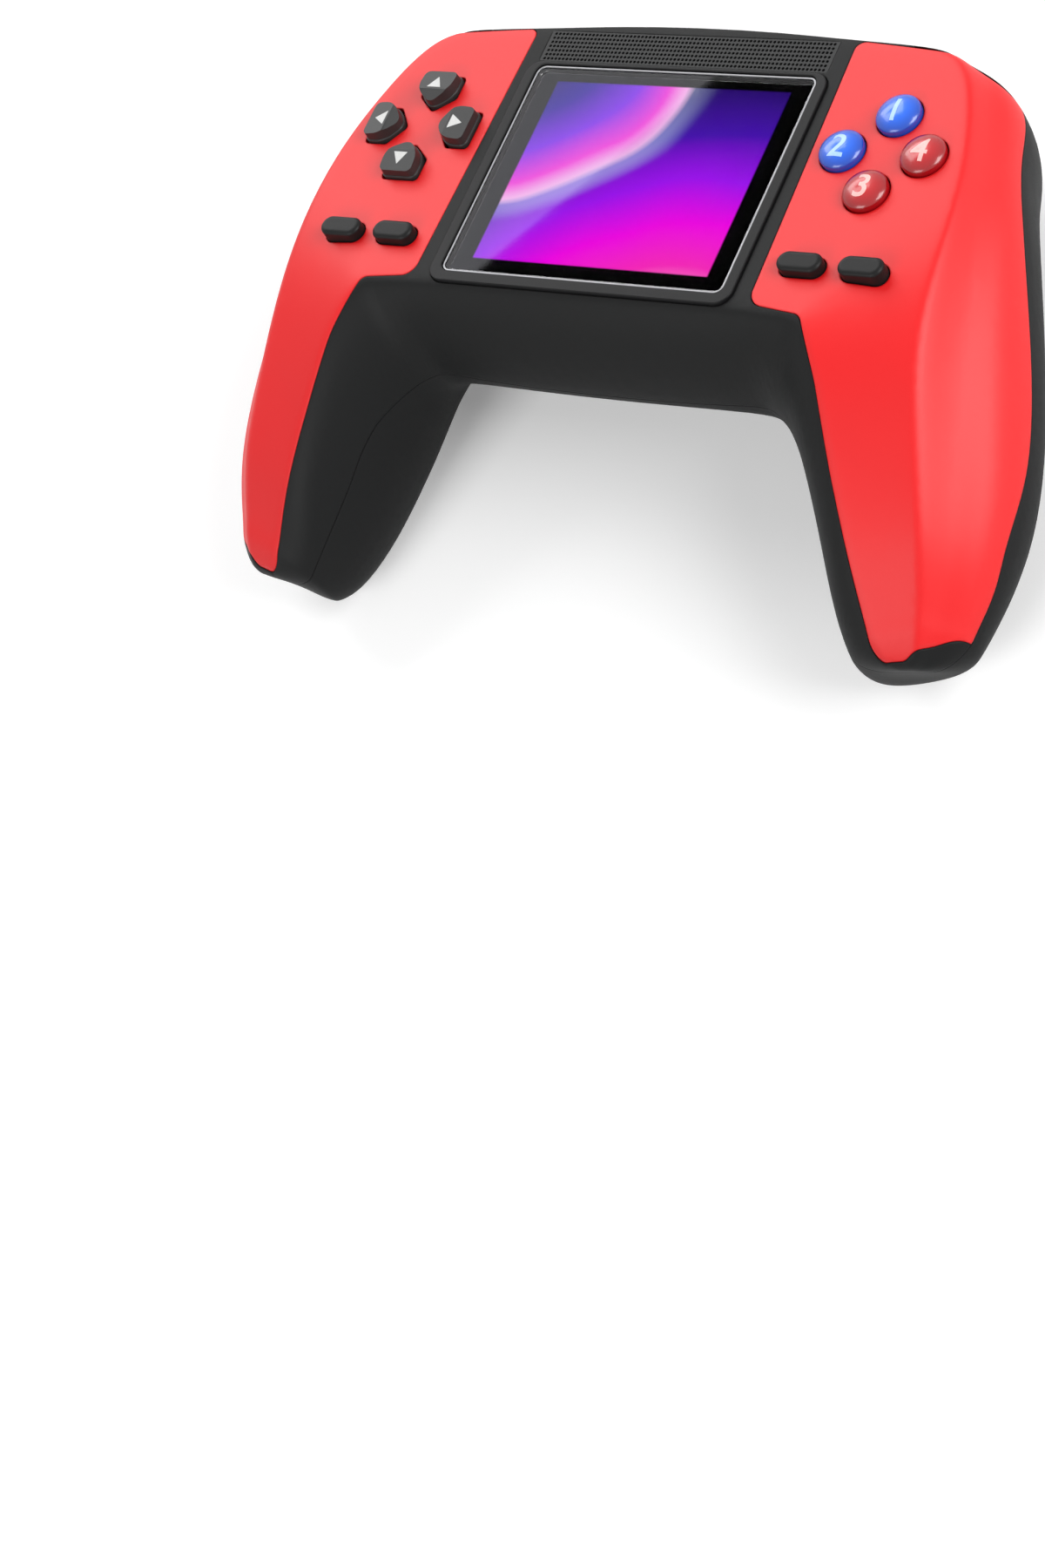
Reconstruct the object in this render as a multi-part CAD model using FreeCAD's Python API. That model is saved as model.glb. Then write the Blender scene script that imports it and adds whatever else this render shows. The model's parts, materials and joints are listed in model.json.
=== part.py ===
import FreeCAD, Part
import math
import os

Vector = FreeCAD.Vector

# All sizes are in millimetres. The console is drawn with its face level: X to its right,
# Y to its shoulders, Z out of the face, with the middle of the screen glass at the origin.
# The last step sets it down on its grips and triggers.

# Casing
WALL = 2.4               # moulded wall of both shells
PANEL = 1.2              # thickness of a coloured face panel
ROUND_SPARE = 0.01       # straight bit left between two roundings
PANEL_FIT = 0.12         # gap round and under a face panel
SEAM = 0.14              # gap between the two shells
DECK_EDGE = 2.0          # how near the deck's rim the face stays flat
RIB_SINK = 0.5           # how deep posts and ribs reach into the wall
SEAM_SLOPE = 0.27        # how fast the seam falls towards the sides
SEAM_KNEE = 45.0         # distance from the middle at which that fall starts

# Screen
GLASS_W = 57.3
GLASS_H = 44.0
GLASS_R = 1.2
GLASS_T = 1.2
GLASS_PROUD = 0.05
GLASS_TOP = GLASS_H / 2
GLASS_LOW = -GLASS_H / 2
LIT_W = GLASS_W - 8.3
LIT_H = GLASS_H - 5.2
LIT_UP = 0.5             # the lit area sits a little above the middle of the glass
TRIM_W = 0.7
TRIM_PROUD = 0.25
BEZEL_W = 1.8            # bezel rim at the sides and below
BEZEL_TOP_W = 0.45       # bezel rim above the glass
BEZEL_PROUD = 0.55
BEZEL_CHAMFER = 0.15
GLASS_FIT = 0.08         # gap between glass, trim, bezel and pocket
GLUE = 0.1
WINDOW_MARGIN = 1.0      # opening behind the glass, past the lit area
WINDOW_R = 1.0
GASKET_T = 0.5
GASKET_W = 2.4
GASKET_R = 1.5
MODULE_W = GLASS_W + 2.7
MODULE_H = GLASS_H + 1.0
MODULE_T = 2.5
MODULE_R = 0.8
MODULE_PANEL_R = 0.5
MODULE_FIT = 0.3         # gap round the display panel in its window
STACK_GAP = 0.06         # gap between parts that are pressed together

# Speaker and its grille
GRILLE_W = 60.0
GRILLE_H = 6.7
GRILLE_T = 0.8
GRILLE_R = 0.8
GRILLE_GAP = 0.3         # strip between the bezel and the grille
GRILLE_HOLE_R = 0.3
GRILLE_COLUMNS = 42
GRILLE_ROWS = 7
GRILLE_PITCH_X = 1.38
GRILLE_PITCH_Y = 0.9
SPEAKER_W = 28.0
SPEAKER_H = 6.4
SPEAKER_RIM_H = 4.4
SPEAKER_T = 3.8
SPEAKER_RIM_T = 0.8
SPEAKER_RIM_W = 27.0
SPEAKER_LIP = 1.0
SPEAKER_R = 3.0
SPEAKER_RIM_R = 2.0
SPEAKER_MOUTH_R = 1.0
SOUND_SLOT_H = 3.4        # slot in the shell between speaker and grille

# Button clusters
PAD_X = 47.8             # middle of the direction pad and of the action buttons
PAD_Y = GLASS_TOP - 14.5
KEY_OFFSET = 7.8         # from the middle of a cluster to each button
CAP_FIT = 0.22           # gap round a cap in its hole
CAP_FLANGE = 0.8         # how far the flange reaches past the hole
CAP_FLANGE_T = 0.9
CAP_SEAT = 0.2           # gap between flange and shell at rest
ACTION_R = 4.05
ACTION_H = 2.4
ACTION_EDGE_H = 1.3      # height at which the dome starts
ACTION_TRAVEL = 1.4
KEY_W = 7.7
KEY_OUTER = 3.6          # from the key's middle to its outer edge
KEY_SHOULDER = 0.95      # from the key's middle inwards to its shoulders
KEY_POINT = 3.95         # from the key's middle inwards to its point
KEY_POINT_SWELL = 1.3    # how much more the point moves when the outline grows
KEY_R = 1.0
KEY_H = 2.7
KEY_SLOPES = (17.0, 7.0) # degrees, fall of the inner and of the outer facet
KEY_TRAVEL = 1.1
MENU_X = 48.0            # middle of a pair of menu buttons
MENU_Y = GLASS_LOW + 6.1
MENU_HALF_PITCH = 5.85
MENU_W = 8.5
MENU_D = 3.95
MENU_H = 2.15
MENU_CHAMFER = 0.5
MENU_TRAVEL = 0.8
FLANGE_ROOM = 3.0
STEM_R = 2.4
MENU_STEM_R = 1.5
DOME_GAP = 0.15          # left between stem and rubber dome when a button is down
DOME_R = 3.0
MENU_DOME_R = 1.9
DOME_TAPER = 0.7
DOME_H = 1.2
PAD_SHEET = 0.9          # thickness of a rubber sheet
PAD_R = 13.4
MENU_PAD_W = 20.0
MENU_PAD_H = 7.0

# Main board
BOARD_TOP = -8.0
BOARD_T = 1.6
BOARD_R = 1.0
BOARD_WING = 61.0        # half width across the wings
BOARD_WING_TOP = GLASS_TOP - 0.9
BOARD_WING_CUT = 6.5
BOARD_BOTTOM = GLASS_LOW + 1.5
BOARD_NECK = 31.0        # half width of the part behind the grille
BOARD_NECK_TOP = GLASS_TOP + 7.8
BOARD_POSTS = ((33.2, GLASS_TOP - 3.4), (33.2, GLASS_LOW + 4.6))
BOARD_POST_R = 2.1
BOARD_HOLE_R = 1.1
SCREW_R = 0.9
PILOT_R = 1.0
SCREW_HEAD_R = 1.9
SCREW_HEAD_T = 1.2
SCREW_BITE = 4.0         # thread in a board post
CHIP_W = 11.0
CHIP_T = 1.1
CHIP_SPOT = (-6.0, 2.0)
FLASH_SPOT = (9.0, 4.0)
FLASH_W = 6.0
FLASH_H = 5.0
FLEX_W = 24.0
FLEX_T = 0.2
FLEX_LAP = 4.5
FLEX_OUT = 0.6           # how far past the board's edge the ribbon turns back

# Case screws: where they stand, and their size
CASE_SCREWS = ((37.5, GLASS_TOP + 4.3), (65.4, 5.5), (66.0, GLASS_LOW - 28.0))
CASE_POST_R = 3.9
CASE_SCREW_R = 1.2
CASE_PILOT_R = 1.25
CASE_SCREW_BITE = 2.8
CASE_PILOT_SPARE = 0.5
CASE_HEAD_R = 2.3
CASE_HEAD_T = 1.5
CASE_HOLE_R = 1.4
CASE_WELL_R = 2.7
CASE_SEAT_DROP = 4.0     # from the seam down to the floor of a screw well

# Shoulder buttons
BUMPER_START = 44.0      # inner end of a shoulder button
BUMPER_TOP_GAP = 0.6     # gap to the face panel, so that it can be pressed
BUMPER_DEPTH = 13.2      # how far it reaches down from the deck
BUMPER_FIT = 0.25
BUMPER_SKIN = 1.3        # thickness behind the wall
BUMPER_BACK = 4.0        # how far behind the panel's edge it may reach, below the deck
BUMPER_CORNER = 51.5     # from here outwards it stays beyond the panel's edge
BUMPER_TAB = 1.4         # length of the tab that holds it behind the shell
BUMPER_TRAVEL = 0.5
TRIGGER_X0 = 43.0
TRIGGER_X1 = 55.2
TRIGGER_FIT = 0.4        # side gap of a trigger in its opening
# side of a trigger round its pin: outer face, tip, hollow below and inner face,
# each corner as (Y, Z, radius)
TRIGGER_SIDE = ((6.8, 3.0, 0.6), (6.2, -4.8, 16.0), (4.2, -14.4, 1.2), (2.0, -14.8, 1.0),
                (-0.8, -9.6, 3.0), (-2.5, -2.3, 1.0), (-2.5, 2.8, 1.6))
# plan of the trigger's outer end as (X, Y above the glass's upper edge, radius)
TRIGGER_PLAN = ((30.0, -22.0, 0.0), (57.8, -22.0, 0.0), (57.8, 2.0, 5.0), (52.2, 7.6, 9.0),
                (44.0, 9.2, 30.0), (30.0, 9.8, 0.0))
PIVOT_Y = GLASS_TOP + 1.4
PIVOT_Z = -17.2
PIVOT_R = 1.0
PIVOT_FIT = 0.05
HUB_R = 2.7
EAR_T = 1.8
EAR_BACK = 5.4           # reach of an ear round the pin, behind, in front and above
EAR_FRONT = 2.8
EAR_TOP = 2.2
OPENING_BACK = 4.9       # reach of the trigger's opening behind the pin
OPENING_STEP = 8.8       # depth below the pin at which the opening narrows
MOUTH_BACK = 3.6         # reach of its narrow part behind the pin
SPRING_R = 3.3
SPRING_L = 3.0
SPRING_FIT = 0.3         # gap inside and outside the spring
SPRING_GAP = 0.2         # gap at each end of the spring
SHOULDER_BOARD_W = 10.4
SHOULDER_BOARD_X = 48.4
SHOULDER_BOARD_T = 1.0
SHOULDER_BOARD_Z = (-12.6, -3.4)
SWITCH_W = 6.0
SWITCH_BODY = 3.0
SWITCH_PLUNGER = 0.6
SWITCH_PLUNGER_R = 1.6
BUMPER_SWITCH_Z = -7.4
TRIGGER_SWITCH_X = 51.4
TRIGGER_SWITCH_Y = GLASS_TOP - 5.2
TRIGGER_SWITCH_Z = -21.4
BRACKET_T = 2.0

# Sockets and switch in the top wall
SOCKET_GAP = 0.1         # under the board
PORT_W = 9.0
PORT_H = 3.2
PORT_L = 7.4
PORT_WALL = 0.4
PORT_FIT = 0.25
PORT_TONGUE_W = 6.6
PORT_TONGUE_T = 0.7
PORT_TONGUE_IN = 1.2     # how far the tongue's end lies inside the mouth
JACK_X = 15.5
JACK_BODY_W = 6.6
JACK_BODY_H = 5.2
JACK_L = 11.5
JACK_BORE_R = 1.8
JACK_NOSE_R = 2.8
JACK_FIT = 0.3           # gap round the nose in the wall
JACK_WALL_GAP = 0.8
SWITCH_X = -16.0
SWITCH_BODY_W = 8.8
SWITCH_BODY_H = 3.6
SWITCH_BODY_D = 4.6
SLIDER_W = 2.6
SLIDER_H = 1.5
SLIDER_TRAVEL = 2.5
SLIDER_FIT = 0.2
SLIDER_OUT = 0.9
SLIDER_GROOVE = 2.2      # depth of the groove the slider runs in
NOTCH_W = 0.3            # grip notches in the slider's end
NOTCH_PITCH = 0.7
SWITCH_WALL_GAP = 0.2
SOCKET_FACE_Y = GLASS_TOP + 10.0    # plane of the socket mouths
SWITCH_FACE_Y = GLASS_TOP + 7.6     # front of the power switch body

# Battery and its bay
CELL_W = 53.0
CELL_H = 34.0
CELL_T = 7.45
CELL_R = 2.0
CELL_Y = -4.0
BAY_GAP = 0.7
BAY_CONTACT_GAP = 1.6    # room for the contacts at one end
BAY_WALL = 1.2
BAY_R = 1.0
BAY_TOP = -13.6
DOOR_T = 1.3
DOOR_LAP = 1.6           # how far the door covers the rim of the bay
DOOR_FIT = 0.2
DOOR_R = 2.0
CONTACT_W = 1.6
CONTACT_H = 3.4
CONTACT_T = 1.1
CONTACT_PITCH = 5.0

# Stations of the casing from the middle to the tip of the right grip. Each row gives, in
# turn, the deck's inner edge, its outer edge, the side, the back outside, the back inside,
# the low inner wall and the inner wall at the seam. Y is measured from the upper edge of
# the glass for the outer edge, the side and the back outside, and from its lower edge for
# the others. The left half mirrors it.
STATIONS = (
    ((0, -3.5, 0), (0, 11, 0), (0, 11.8, -9), (0, -2, -25),
     (0, 4, -25), (0, -9.3, -24), (0, -12.3, -17.5)),
    ((17, -3.5, 0), (17, 10.6, 0), (17, 11.4, -9), (17, -2, -25),
     (17, 4, -25), (17, -9.1, -24), (17, -12.1, -17.5)),
    ((29, -3.5, 0), (31, 9.6, 0), (31, 10.6, -9), (31, -2, -26),
     (29.5, 4, -27), (28.5, -8.6, -25), (28, -11.4, -17.5)),
    ((36, -3.7, 0), (44.5, 9, 0), (46.5, 10, -10), (45, -2, -29),
     (36.2, 1, -31.2), (35, -8.2, -26), (33.5, -11, -17.5)),
    ((40.5, -4, 0), (55.5, 7.7, 0), (63.5, 7.5, -11), (60, -1.5, -34),
     (40.2, -2, -35.2), (37.5, -9.5, -29), (36.2, -12.2, -18)),
    ((43, -4, 0), (61.5, -6.5, 0), (67, -6, -12), (60.5, -14, -32),
     (43.2, -3, -38.2), (39.5, -11.5, -31.5), (38, -13.6, -19)),
    ((45, -4.5, 0), (65, -20, 0), (72, -18, -13), (63.8, -23, -33.2),
     (45.2, -5, -41.2), (41.5, -14, -34), (39.3, -15.2, -20)),
    ((47, -7, -1), (66, -35, -0.5), (76, -32, -18), (68, -34.5, -38.6),
     (47.9, -9.5, -45.8), (44, -17.5, -36.5), (41.3, -17.5, -20.5)),
    ((50, -12.5, -3.8), (66.7, -49, -4), (79.3, -46, -25), (71, -47.5, -44.2),
     (51.3, -16, -50.3), (46.5, -23.5, -39.5), (44.3, -21.8, -22)),
    ((54, -23, -11), (69, -62, -12), (81.4, -60, -30), (72.2, -61.5, -47.8),
     (54.5, -26.5, -53.5), (50, -33, -43.5), (49.2, -31, -26.5)),
    ((58.5, -35, -20.5), (71.3, -74.5, -20), (80.4, -72, -33.5), (72.1, -74, -48.3),
     (57.5, -37, -54), (54, -42, -45.5), (53.2, -40.5, -31.5)),
    ((61.8, -42.3, -28.9), (71.1, -82.9, -28.4), (77.6, -81, -37.4), (71.5, -83, -48),
     (59.9, -41.4, -51.1), (56.8, -44.9, -45.2), (55.9, -44.9, -36)),
)
# Rounding of the grip's tip, ring by ring: share of the last station's size, share of its
# slant, and how far the ring lies beyond it
TIP_AXIS = Vector(0.15, -0.9, -0.4).normalize()
TIP_RINGS = ((0.94, 0.8, 1.4), (0.76, 0.5, 3.2), (0.44, 0.0, 5.2), (0.15, 0.0, 5.2))
# Side shape between the listed points: share of the way out, share of the way down
CREASE = (0.32, 0.36)
FLANK = (0.75, 0.55)
MITRE = 0.9              # keeps sharp corners of the wall from growing long
HAUNCH = (0.12, 0.55)
SILL = (0.55, 0.35)

# Height of the seam between the shells, from the shoulders to the tips of the grips
SEAM_LINE = ((60, -9), (33, -7.5), (27, -6.5), (19, -4.8), (9, -3.9), (0, -5.4), (-11, -9.7),
             (-22, -14.7), (-33, -18.4), (-47, -22.0), (-52, -24.8), (-59, -28.2),
             (-65, -31.5), (-72, -37.5), (-90, -57))

# Outline of the right face panel seen from the front: its upper edge as (X, Y above the
# glass's upper edge), the rest as (X, Y above the glass's lower edge, corner radius)
PANEL_TOP = ((33.3, 8.8), (53.1, 7.0), (60.2, 5.1), (66.0, 3.3))
PANEL_OUTLINE = ((34.8, -1.7, 3.0), (45.3, -2.9, 2.2), (50.3, -12.5, 30.0), (54.5, -24.0, 60.0),
                 (63.3, -46.4, 2.6), (68.3, -45.2, 3.0), (77.2, -38.2, 3.0), (95.0, -36.5, 0.0))
# the panel doesn't reach round behind the grip's tip: it ends at this X, Y above the
# glass's lower edge and Z
PANEL_TIP = (71.5, -43.0, -35.5)
PANEL_CORNER_R = 1.8
PANEL_BEND_R = 20.0
FAR = 120.0              # reach of cutting blocks, past every side of the casing
STEEPEST_REST = 25.0     # degrees, end of the search for the rest position
REST_STEPS = 16          # halvings in that search


def lerp(a, b, share):
    return a + (b - a) * share


def between(a, b, shares):
    across, down = shares
    point = lerp(a, b, across)
    point.z = lerp(a.z, b.z, down)
    return point


def ring(station):
    starts = [GLASS_LOW] + [GLASS_TOP] * 3 + [GLASS_LOW] * 3
    edge, rim, side, back_out, back_in, low, wall = [Vector(x, y + start, z) for (x, y, z), start
                                                     in zip(station, starts)]
    inwards = (edge - rim).normalize() * DECK_EDGE
    return [edge, edge - inwards, lerp(edge, rim, 0.5), rim + inwards, rim,
            between(rim, side, CREASE), between(rim, side, FLANK), side,
            between(side, back_out, HAUNCH), back_out, back_in, low, wall,
            between(edge, wall, SILL)]


def middle(points):
    total = Vector(0, 0, 0)
    for point in points:
        total += point
    return total * (1.0 / len(points))


def tip_ring(last, share, slant, beyond):
    centre = middle(last)
    points = []
    for point in last:
        arm = point - centre
        along = TIP_AXIS * arm.dot(TIP_AXIS)
        points.append(centre + (arm - along) * share + along * slant + TIP_AXIS * beyond)
    return points


def mirrored(points):
    return [Vector(-p.x, p.y, p.z) for p in points]


def casing_net():
    right = [ring(station) for station in STATIONS]
    last = right[-1]
    right += [tip_ring(last, *row) for row in TIP_RINGS]
    left = [mirrored(points) for points in right[:0:-1]]
    return left + right


def outward(net, i, j):
    # way to the outside at a pole, long enough to keep the wall's thickness at a corner
    along = net[min(i + 1, len(net) - 1)][j] - net[max(i - 1, 0)][j]
    count = len(net[i])
    here = net[i][j]
    before = along.cross(here - net[i][j - 1]).normalize()
    after = along.cross(net[i][(j + 1) % count] - here).normalize()
    return (before + after) * (1.0 / max(1.0 + before.dot(after), MITRE))


def casing(inset, known={}):
    # solid of the whole casing with its surface moved inwards by inset
    if inset in known:
        return known[inset]
    net = casing_net()
    poles = [[net[i][j] - outward(net, i, j) * inset for j in range(len(net[i]))]
             for i in range(len(net))]
    rows, rails = len(poles), len(poles[0])
    spans = rows - 3
    skin = Part.BSplineSurface()
    skin.buildFromPolesMultsKnots(poles, [4] + [1] * (spans - 1) + [4], [1] * (rails + 1),
                                  list(range(spans + 1)), list(range(rails + 1)),
                                  False, True, 3, 3)
    tube = skin.toShape()
    ends = [edge for edge in tube.Edges if edge.isClosed() and edge.BoundBox.XLength < FAR / 4]
    caps = [Part.Face(Part.Wire([edge])) for edge in ends]
    solid = Part.Solid(Part.Shell([tube] + caps))
    solid.fix(1e-6, 1e-6, 1e-3)
    known[inset] = solid
    return solid


def seam_profile(x, lift):
    fall = SEAM_SLOPE * max(abs(x) - SEAM_KNEE, 0)
    points = [Vector(x, y, z - fall + lift) for y, z in SEAM_LINE]
    curve = Part.BSplineCurve()
    curve.interpolate(points)
    start, end = points[0], points[-1]
    high = [Vector(x, end.y, FAR), Vector(x, start.y, FAR)]
    return Part.Wire([curve.toShape(), Part.makeLine(end, high[0]),
                      Part.makeLine(high[0], high[1]), Part.makeLine(high[1], start)])


def front_of_seam(lift):
    profiles = [seam_profile(x, lift) for x in (-FAR, -SEAM_KNEE, SEAM_KNEE, FAR)]
    return Part.makeLoft(profiles, True, True)


def seam_height(x, y):
    for (y0, z0), (y1, z1) in zip(SEAM_LINE, SEAM_LINE[1:]):
        if y1 <= y <= y0:
            level = lerp(z0, z1, (y0 - y) / (y0 - y1))
    return level - SEAM_SLOPE * max(abs(x) - SEAM_KNEE, 0)


def rounded_wire(corners, z=0.0):
    # closed flat outline; each corner is (x, y, radius)
    points = [Vector(x, y, z) for x, y, r in corners]
    count = len(points)
    starts, ends, edges = [], [], []
    for i, (x, y, radius) in enumerate(corners):
        here, before, after = points[i], points[i - 1], points[(i + 1) % count]
        one, two = (before - here).normalize(), (after - here).normalize()
        half = one.getAngle(two) / 2
        reach = radius / math.tan(half) if radius else 0.0
        starts.append(here + one * reach)
        ends.append(here + two * reach)
        if radius:
            bisector = (one + two).normalize()
            centre = here + bisector * (radius / math.sin(half))
            edges.append((i, Part.Arc(starts[i], centre - bisector * radius, ends[i]).toShape()))
    arcs = dict(edges)
    outline = []
    for i in range(count):
        if i in arcs:
            outline.append(arcs[i])
        after = starts[(i + 1) % count]
        if (after - ends[i]).Length > 1e-6:
            outline.append(Part.makeLine(ends[i], after))
    return Part.Wire(outline)


def slab(corners, low, high):
    return Part.Face(rounded_wire(corners, low)).extrude(Vector(0, 0, high - low))


def rectangle(width, height, x=0.0, y=0.0, radius=0.0):
    w, h = width / 2, height / 2
    return [(x - w, y - h, radius), (x + w, y - h, radius),
            (x + w, y + h, radius), (x - w, y + h, radius)]


def plate(width, height, low, high, x=0.0, y=0.0, radius=0.0):
    return slab(rectangle(width, height, x, y, radius), low, high)


def block(x0, x1, y0, y1, z0, z1):
    return Part.makeBox(x1 - x0, y1 - y0, z1 - z0, Vector(x0, y0, z0))


def post(radius, x, y, low, high):
    return Part.makeCylinder(radius, high - low, Vector(x, y, low))


def rod(radius, x0, x1, y, z):
    return Part.makeCylinder(radius, x1 - x0, Vector(x0, y, z), Vector(1, 0, 0))


def bore_in_wall(radius, x, z, y0, y1):
    return Part.makeCylinder(radius, y1 - y0, Vector(x, y0, z), Vector(0, 1, 0))


def mirror(shape):
    return shape.mirror(Vector(0, 0, 0), Vector(1, 0, 0))


def both(shapes):
    return shapes + [mirror(shape) for shape in shapes]


def largest(shape):
    return max(shape.Solids, key=lambda solid: solid.Volume)


def group(shapes):
    return Part.makeCompound(shapes)


def side_prism(corners, x0, x1):
    # solid of a (y, z, radius) outline between two x planes
    flat = rounded_wire([(y, z, r) for y, z, r in corners])
    face = Part.Face(flat)
    turn = FreeCAD.Placement(FreeCAD.Matrix(0, 0, 1, x0, 1, 0, 0, 0, 0, 1, 0, 0, 0, 0, 0, 1))
    face.Placement = turn
    return face.extrude(Vector(x1 - x0, 0, 0))


# Face panels
def panel_rim():
    return [(x, y + GLASS_TOP) for x, y in PANEL_TOP]


def panel_area(grow):
    # right panel's outline as a tall block, grown by grow
    first, bend, corner, last = panel_rim()
    outline = [(first[0] - grow, first[1] + grow, PANEL_CORNER_R)]
    for i, (x, y, r) in enumerate(PANEL_OUTLINE):
        at_inner = i < 5
        low = i in (0, 1) or i > 3
        outline.append((x - (grow if at_inner else 0), y + GLASS_LOW - (grow if low else 0), r))
    outline.append((PANEL_OUTLINE[-1][0], last[1] + grow, 0.0))
    outline.append((last[0], last[1] + grow, 0.0))
    outline.append((corner[0], corner[1] + grow, PANEL_BEND_R))
    outline.append((bend[0], bend[1] + grow, PANEL_BEND_R))
    tip_x, tip_y, tip_z = PANEL_TIP
    behind_tip = block(0, tip_x - grow, -FAR, GLASS_LOW + tip_y - grow, -FAR, tip_z - grow)
    return slab(outline, -FAR, FAR).cut(behind_tip)


def face_panel():
    blank = casing(0.0).common(panel_area(0.0)).common(front_of_seam(SEAM / 2))
    return largest(blank.cut(casing(PANEL)))


def panel_pocket():
    room = panel_area(PANEL_FIT).common(front_of_seam(-SEAM))
    return largest(room.cut(casing(PANEL + PANEL_FIT)))


# Button outlines, each as corners of a flat outline
def key_outline(x, y, turn, grow):
    # direction key: a rectangle with a point towards the middle of the pad
    half = KEY_W / 2 + grow
    corners = [(-half, KEY_OUTER + grow), (half, KEY_OUTER + grow), (half, -KEY_SHOULDER - grow / 2),
               (0, -KEY_POINT - grow * KEY_POINT_SWELL), (-half, -KEY_SHOULDER - grow / 2)]
    c, s = math.cos(math.radians(turn)), math.sin(math.radians(turn))
    return [(x + px * c - py * s, y + px * s + py * c, KEY_R) for px, py in corners[::-1]]


def pill_outline(x, y, grow):
    height = MENU_D + 2 * grow
    return rectangle(MENU_W + 2 * grow, height, x, y, height / 2 - ROUND_SPARE)


def places(count, x, y):
    # middles of the buttons round a cluster, starting above and turning anticlockwise
    for i in range(count):
        angle = math.radians(90 + 360.0 / count * i)
        yield x + KEY_OFFSET * math.cos(angle), y + KEY_OFFSET * math.sin(angle), 360.0 / count * i


DPAD_NAMES = ("up", "left", "down", "right")
ACTION_NAMES = ("top", "left", "bottom", "right")
MENU_NAMES = {-1: ("reset", "volume"), 1: ("select", "start")}


def menu_places(side):
    return [(side * MENU_X - MENU_HALF_PITCH, MENU_Y), (side * MENU_X + MENU_HALF_PITCH, MENU_Y)]


def button_holes(side):
    # holes for the caps of one side, through panel and shell
    tools = []
    if side < 0:
        for x, y, turn in places(4, -PAD_X, PAD_Y):
            tools.append(slab(key_outline(x, y, turn, CAP_FIT), -WALL - 1, 1))
    else:
        for x, y, turn in places(4, PAD_X, PAD_Y):
            tools.append(post(ACTION_R + CAP_FIT, x, y, -WALL - 1, 1))
    for x, y in menu_places(side):
        tools.append(slab(pill_outline(x, y, CAP_FIT), -WALL - 1, 1))
    return tools


FLANGE_TOP = -WALL - CAP_SEAT


def flange_rooms():
    # free space for the flanges, where the wall grows thick near the deck's rim
    low, high, grow = FLANGE_TOP - FLANGE_ROOM, FLANGE_TOP + CAP_SEAT / 2, CAP_FLANGE + 2 * CAP_FIT
    rooms = [slab(key_outline(x, y, turn, grow), low, high) for x, y, turn in places(4, -PAD_X, PAD_Y)]
    rooms += [post(ACTION_R + grow, x, y, low, high) for x, y, turn in places(4, PAD_X, PAD_Y)]
    rooms += [slab(pill_outline(x, y, grow), low, high) for side in (-1, 1) for x, y in menu_places(side)]
    return rooms


DOME_TOP = BOARD_TOP + STACK_GAP + PAD_SHEET + DOME_H


def stem_end(travel):
    return DOME_TOP + DOME_GAP + travel


def action_cap(x, y):
    radius = ACTION_R
    rise = ACTION_H - ACTION_EDGE_H
    ball = (radius ** 2 + rise ** 2) / (2 * rise)
    rim = Vector(radius, 0, ACTION_EDGE_H)
    crown = Vector(0, 0, ACTION_H)
    swing = math.asin(radius / ball) / 2
    waist = Vector(ball * math.sin(swing), 0, ACTION_H - ball + ball * math.cos(swing))
    flange = radius + CAP_FIT + CAP_FLANGE
    path = [Vector(0, 0, stem_end(ACTION_TRAVEL)), Vector(STEM_R, 0, stem_end(ACTION_TRAVEL)),
            Vector(STEM_R, 0, FLANGE_TOP - CAP_FLANGE_T), Vector(flange, 0, FLANGE_TOP - CAP_FLANGE_T),
            Vector(flange, 0, FLANGE_TOP), Vector(radius, 0, FLANGE_TOP), rim]
    edges = [Part.makeLine(a, b) for a, b in zip(path, path[1:])]
    edges.append(Part.Arc(rim, waist, crown).toShape())
    edges.append(Part.makeLine(crown, path[0]))
    cap = Part.Face(Part.Wire(edges)).revolve(Vector(0, 0, 0), Vector(0, 0, 1), 360)
    cap.translate(Vector(x, y, 0))
    return cap


def key_cap(x, y, turn):
    body = slab(key_outline(x, y, turn, 0.0), FLANGE_TOP, KEY_H)
    flange = slab(key_outline(x, y, turn, CAP_FIT + CAP_FLANGE), FLANGE_TOP - CAP_FLANGE_T, FLANGE_TOP)
    stem = post(STEM_R, x, y, stem_end(KEY_TRAVEL), FLANGE_TOP - CAP_FLANGE_T)
    cap = body.fuse([flange, stem])
    # both facets fall away from a ridge that lies across the key's shoulders
    wedges = []
    for sign, slope in zip((-1, 1), KEY_SLOPES):
        reach = 2 * KEY_POINT
        wedge = block(-KEY_W, KEY_W, min(0, sign * reach), max(0, sign * reach), 0, KEY_H)
        wedge.rotate(Vector(0, 0, 0), Vector(1, 0, 0), -sign * slope)
        wedge.translate(Vector(0, -KEY_SHOULDER, KEY_H))
        wedge.rotate(Vector(0, 0, 0), Vector(0, 0, 1), turn)
        wedge.translate(Vector(x, y, 0))
        wedges.append(wedge)
    return cap.cut(wedges).removeSplitter()


def menu_cap(x, y):
    low = slab(pill_outline(x, y, 0.0), FLANGE_TOP, MENU_H - MENU_CHAMFER)
    wires = [rounded_wire(pill_outline(x, y, 0.0), MENU_H - MENU_CHAMFER),
             rounded_wire(pill_outline(x, y, -MENU_CHAMFER), MENU_H)]
    crown = Part.makeLoft(wires, True, True)
    flange = slab(pill_outline(x, y, CAP_FIT + CAP_FLANGE / 2), FLANGE_TOP - CAP_FLANGE_T, FLANGE_TOP)
    stem = post(MENU_STEM_R, x, y, stem_end(MENU_TRAVEL), FLANGE_TOP - CAP_FLANGE_T)
    return low.fuse([crown, flange, stem]).removeSplitter()


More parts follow.
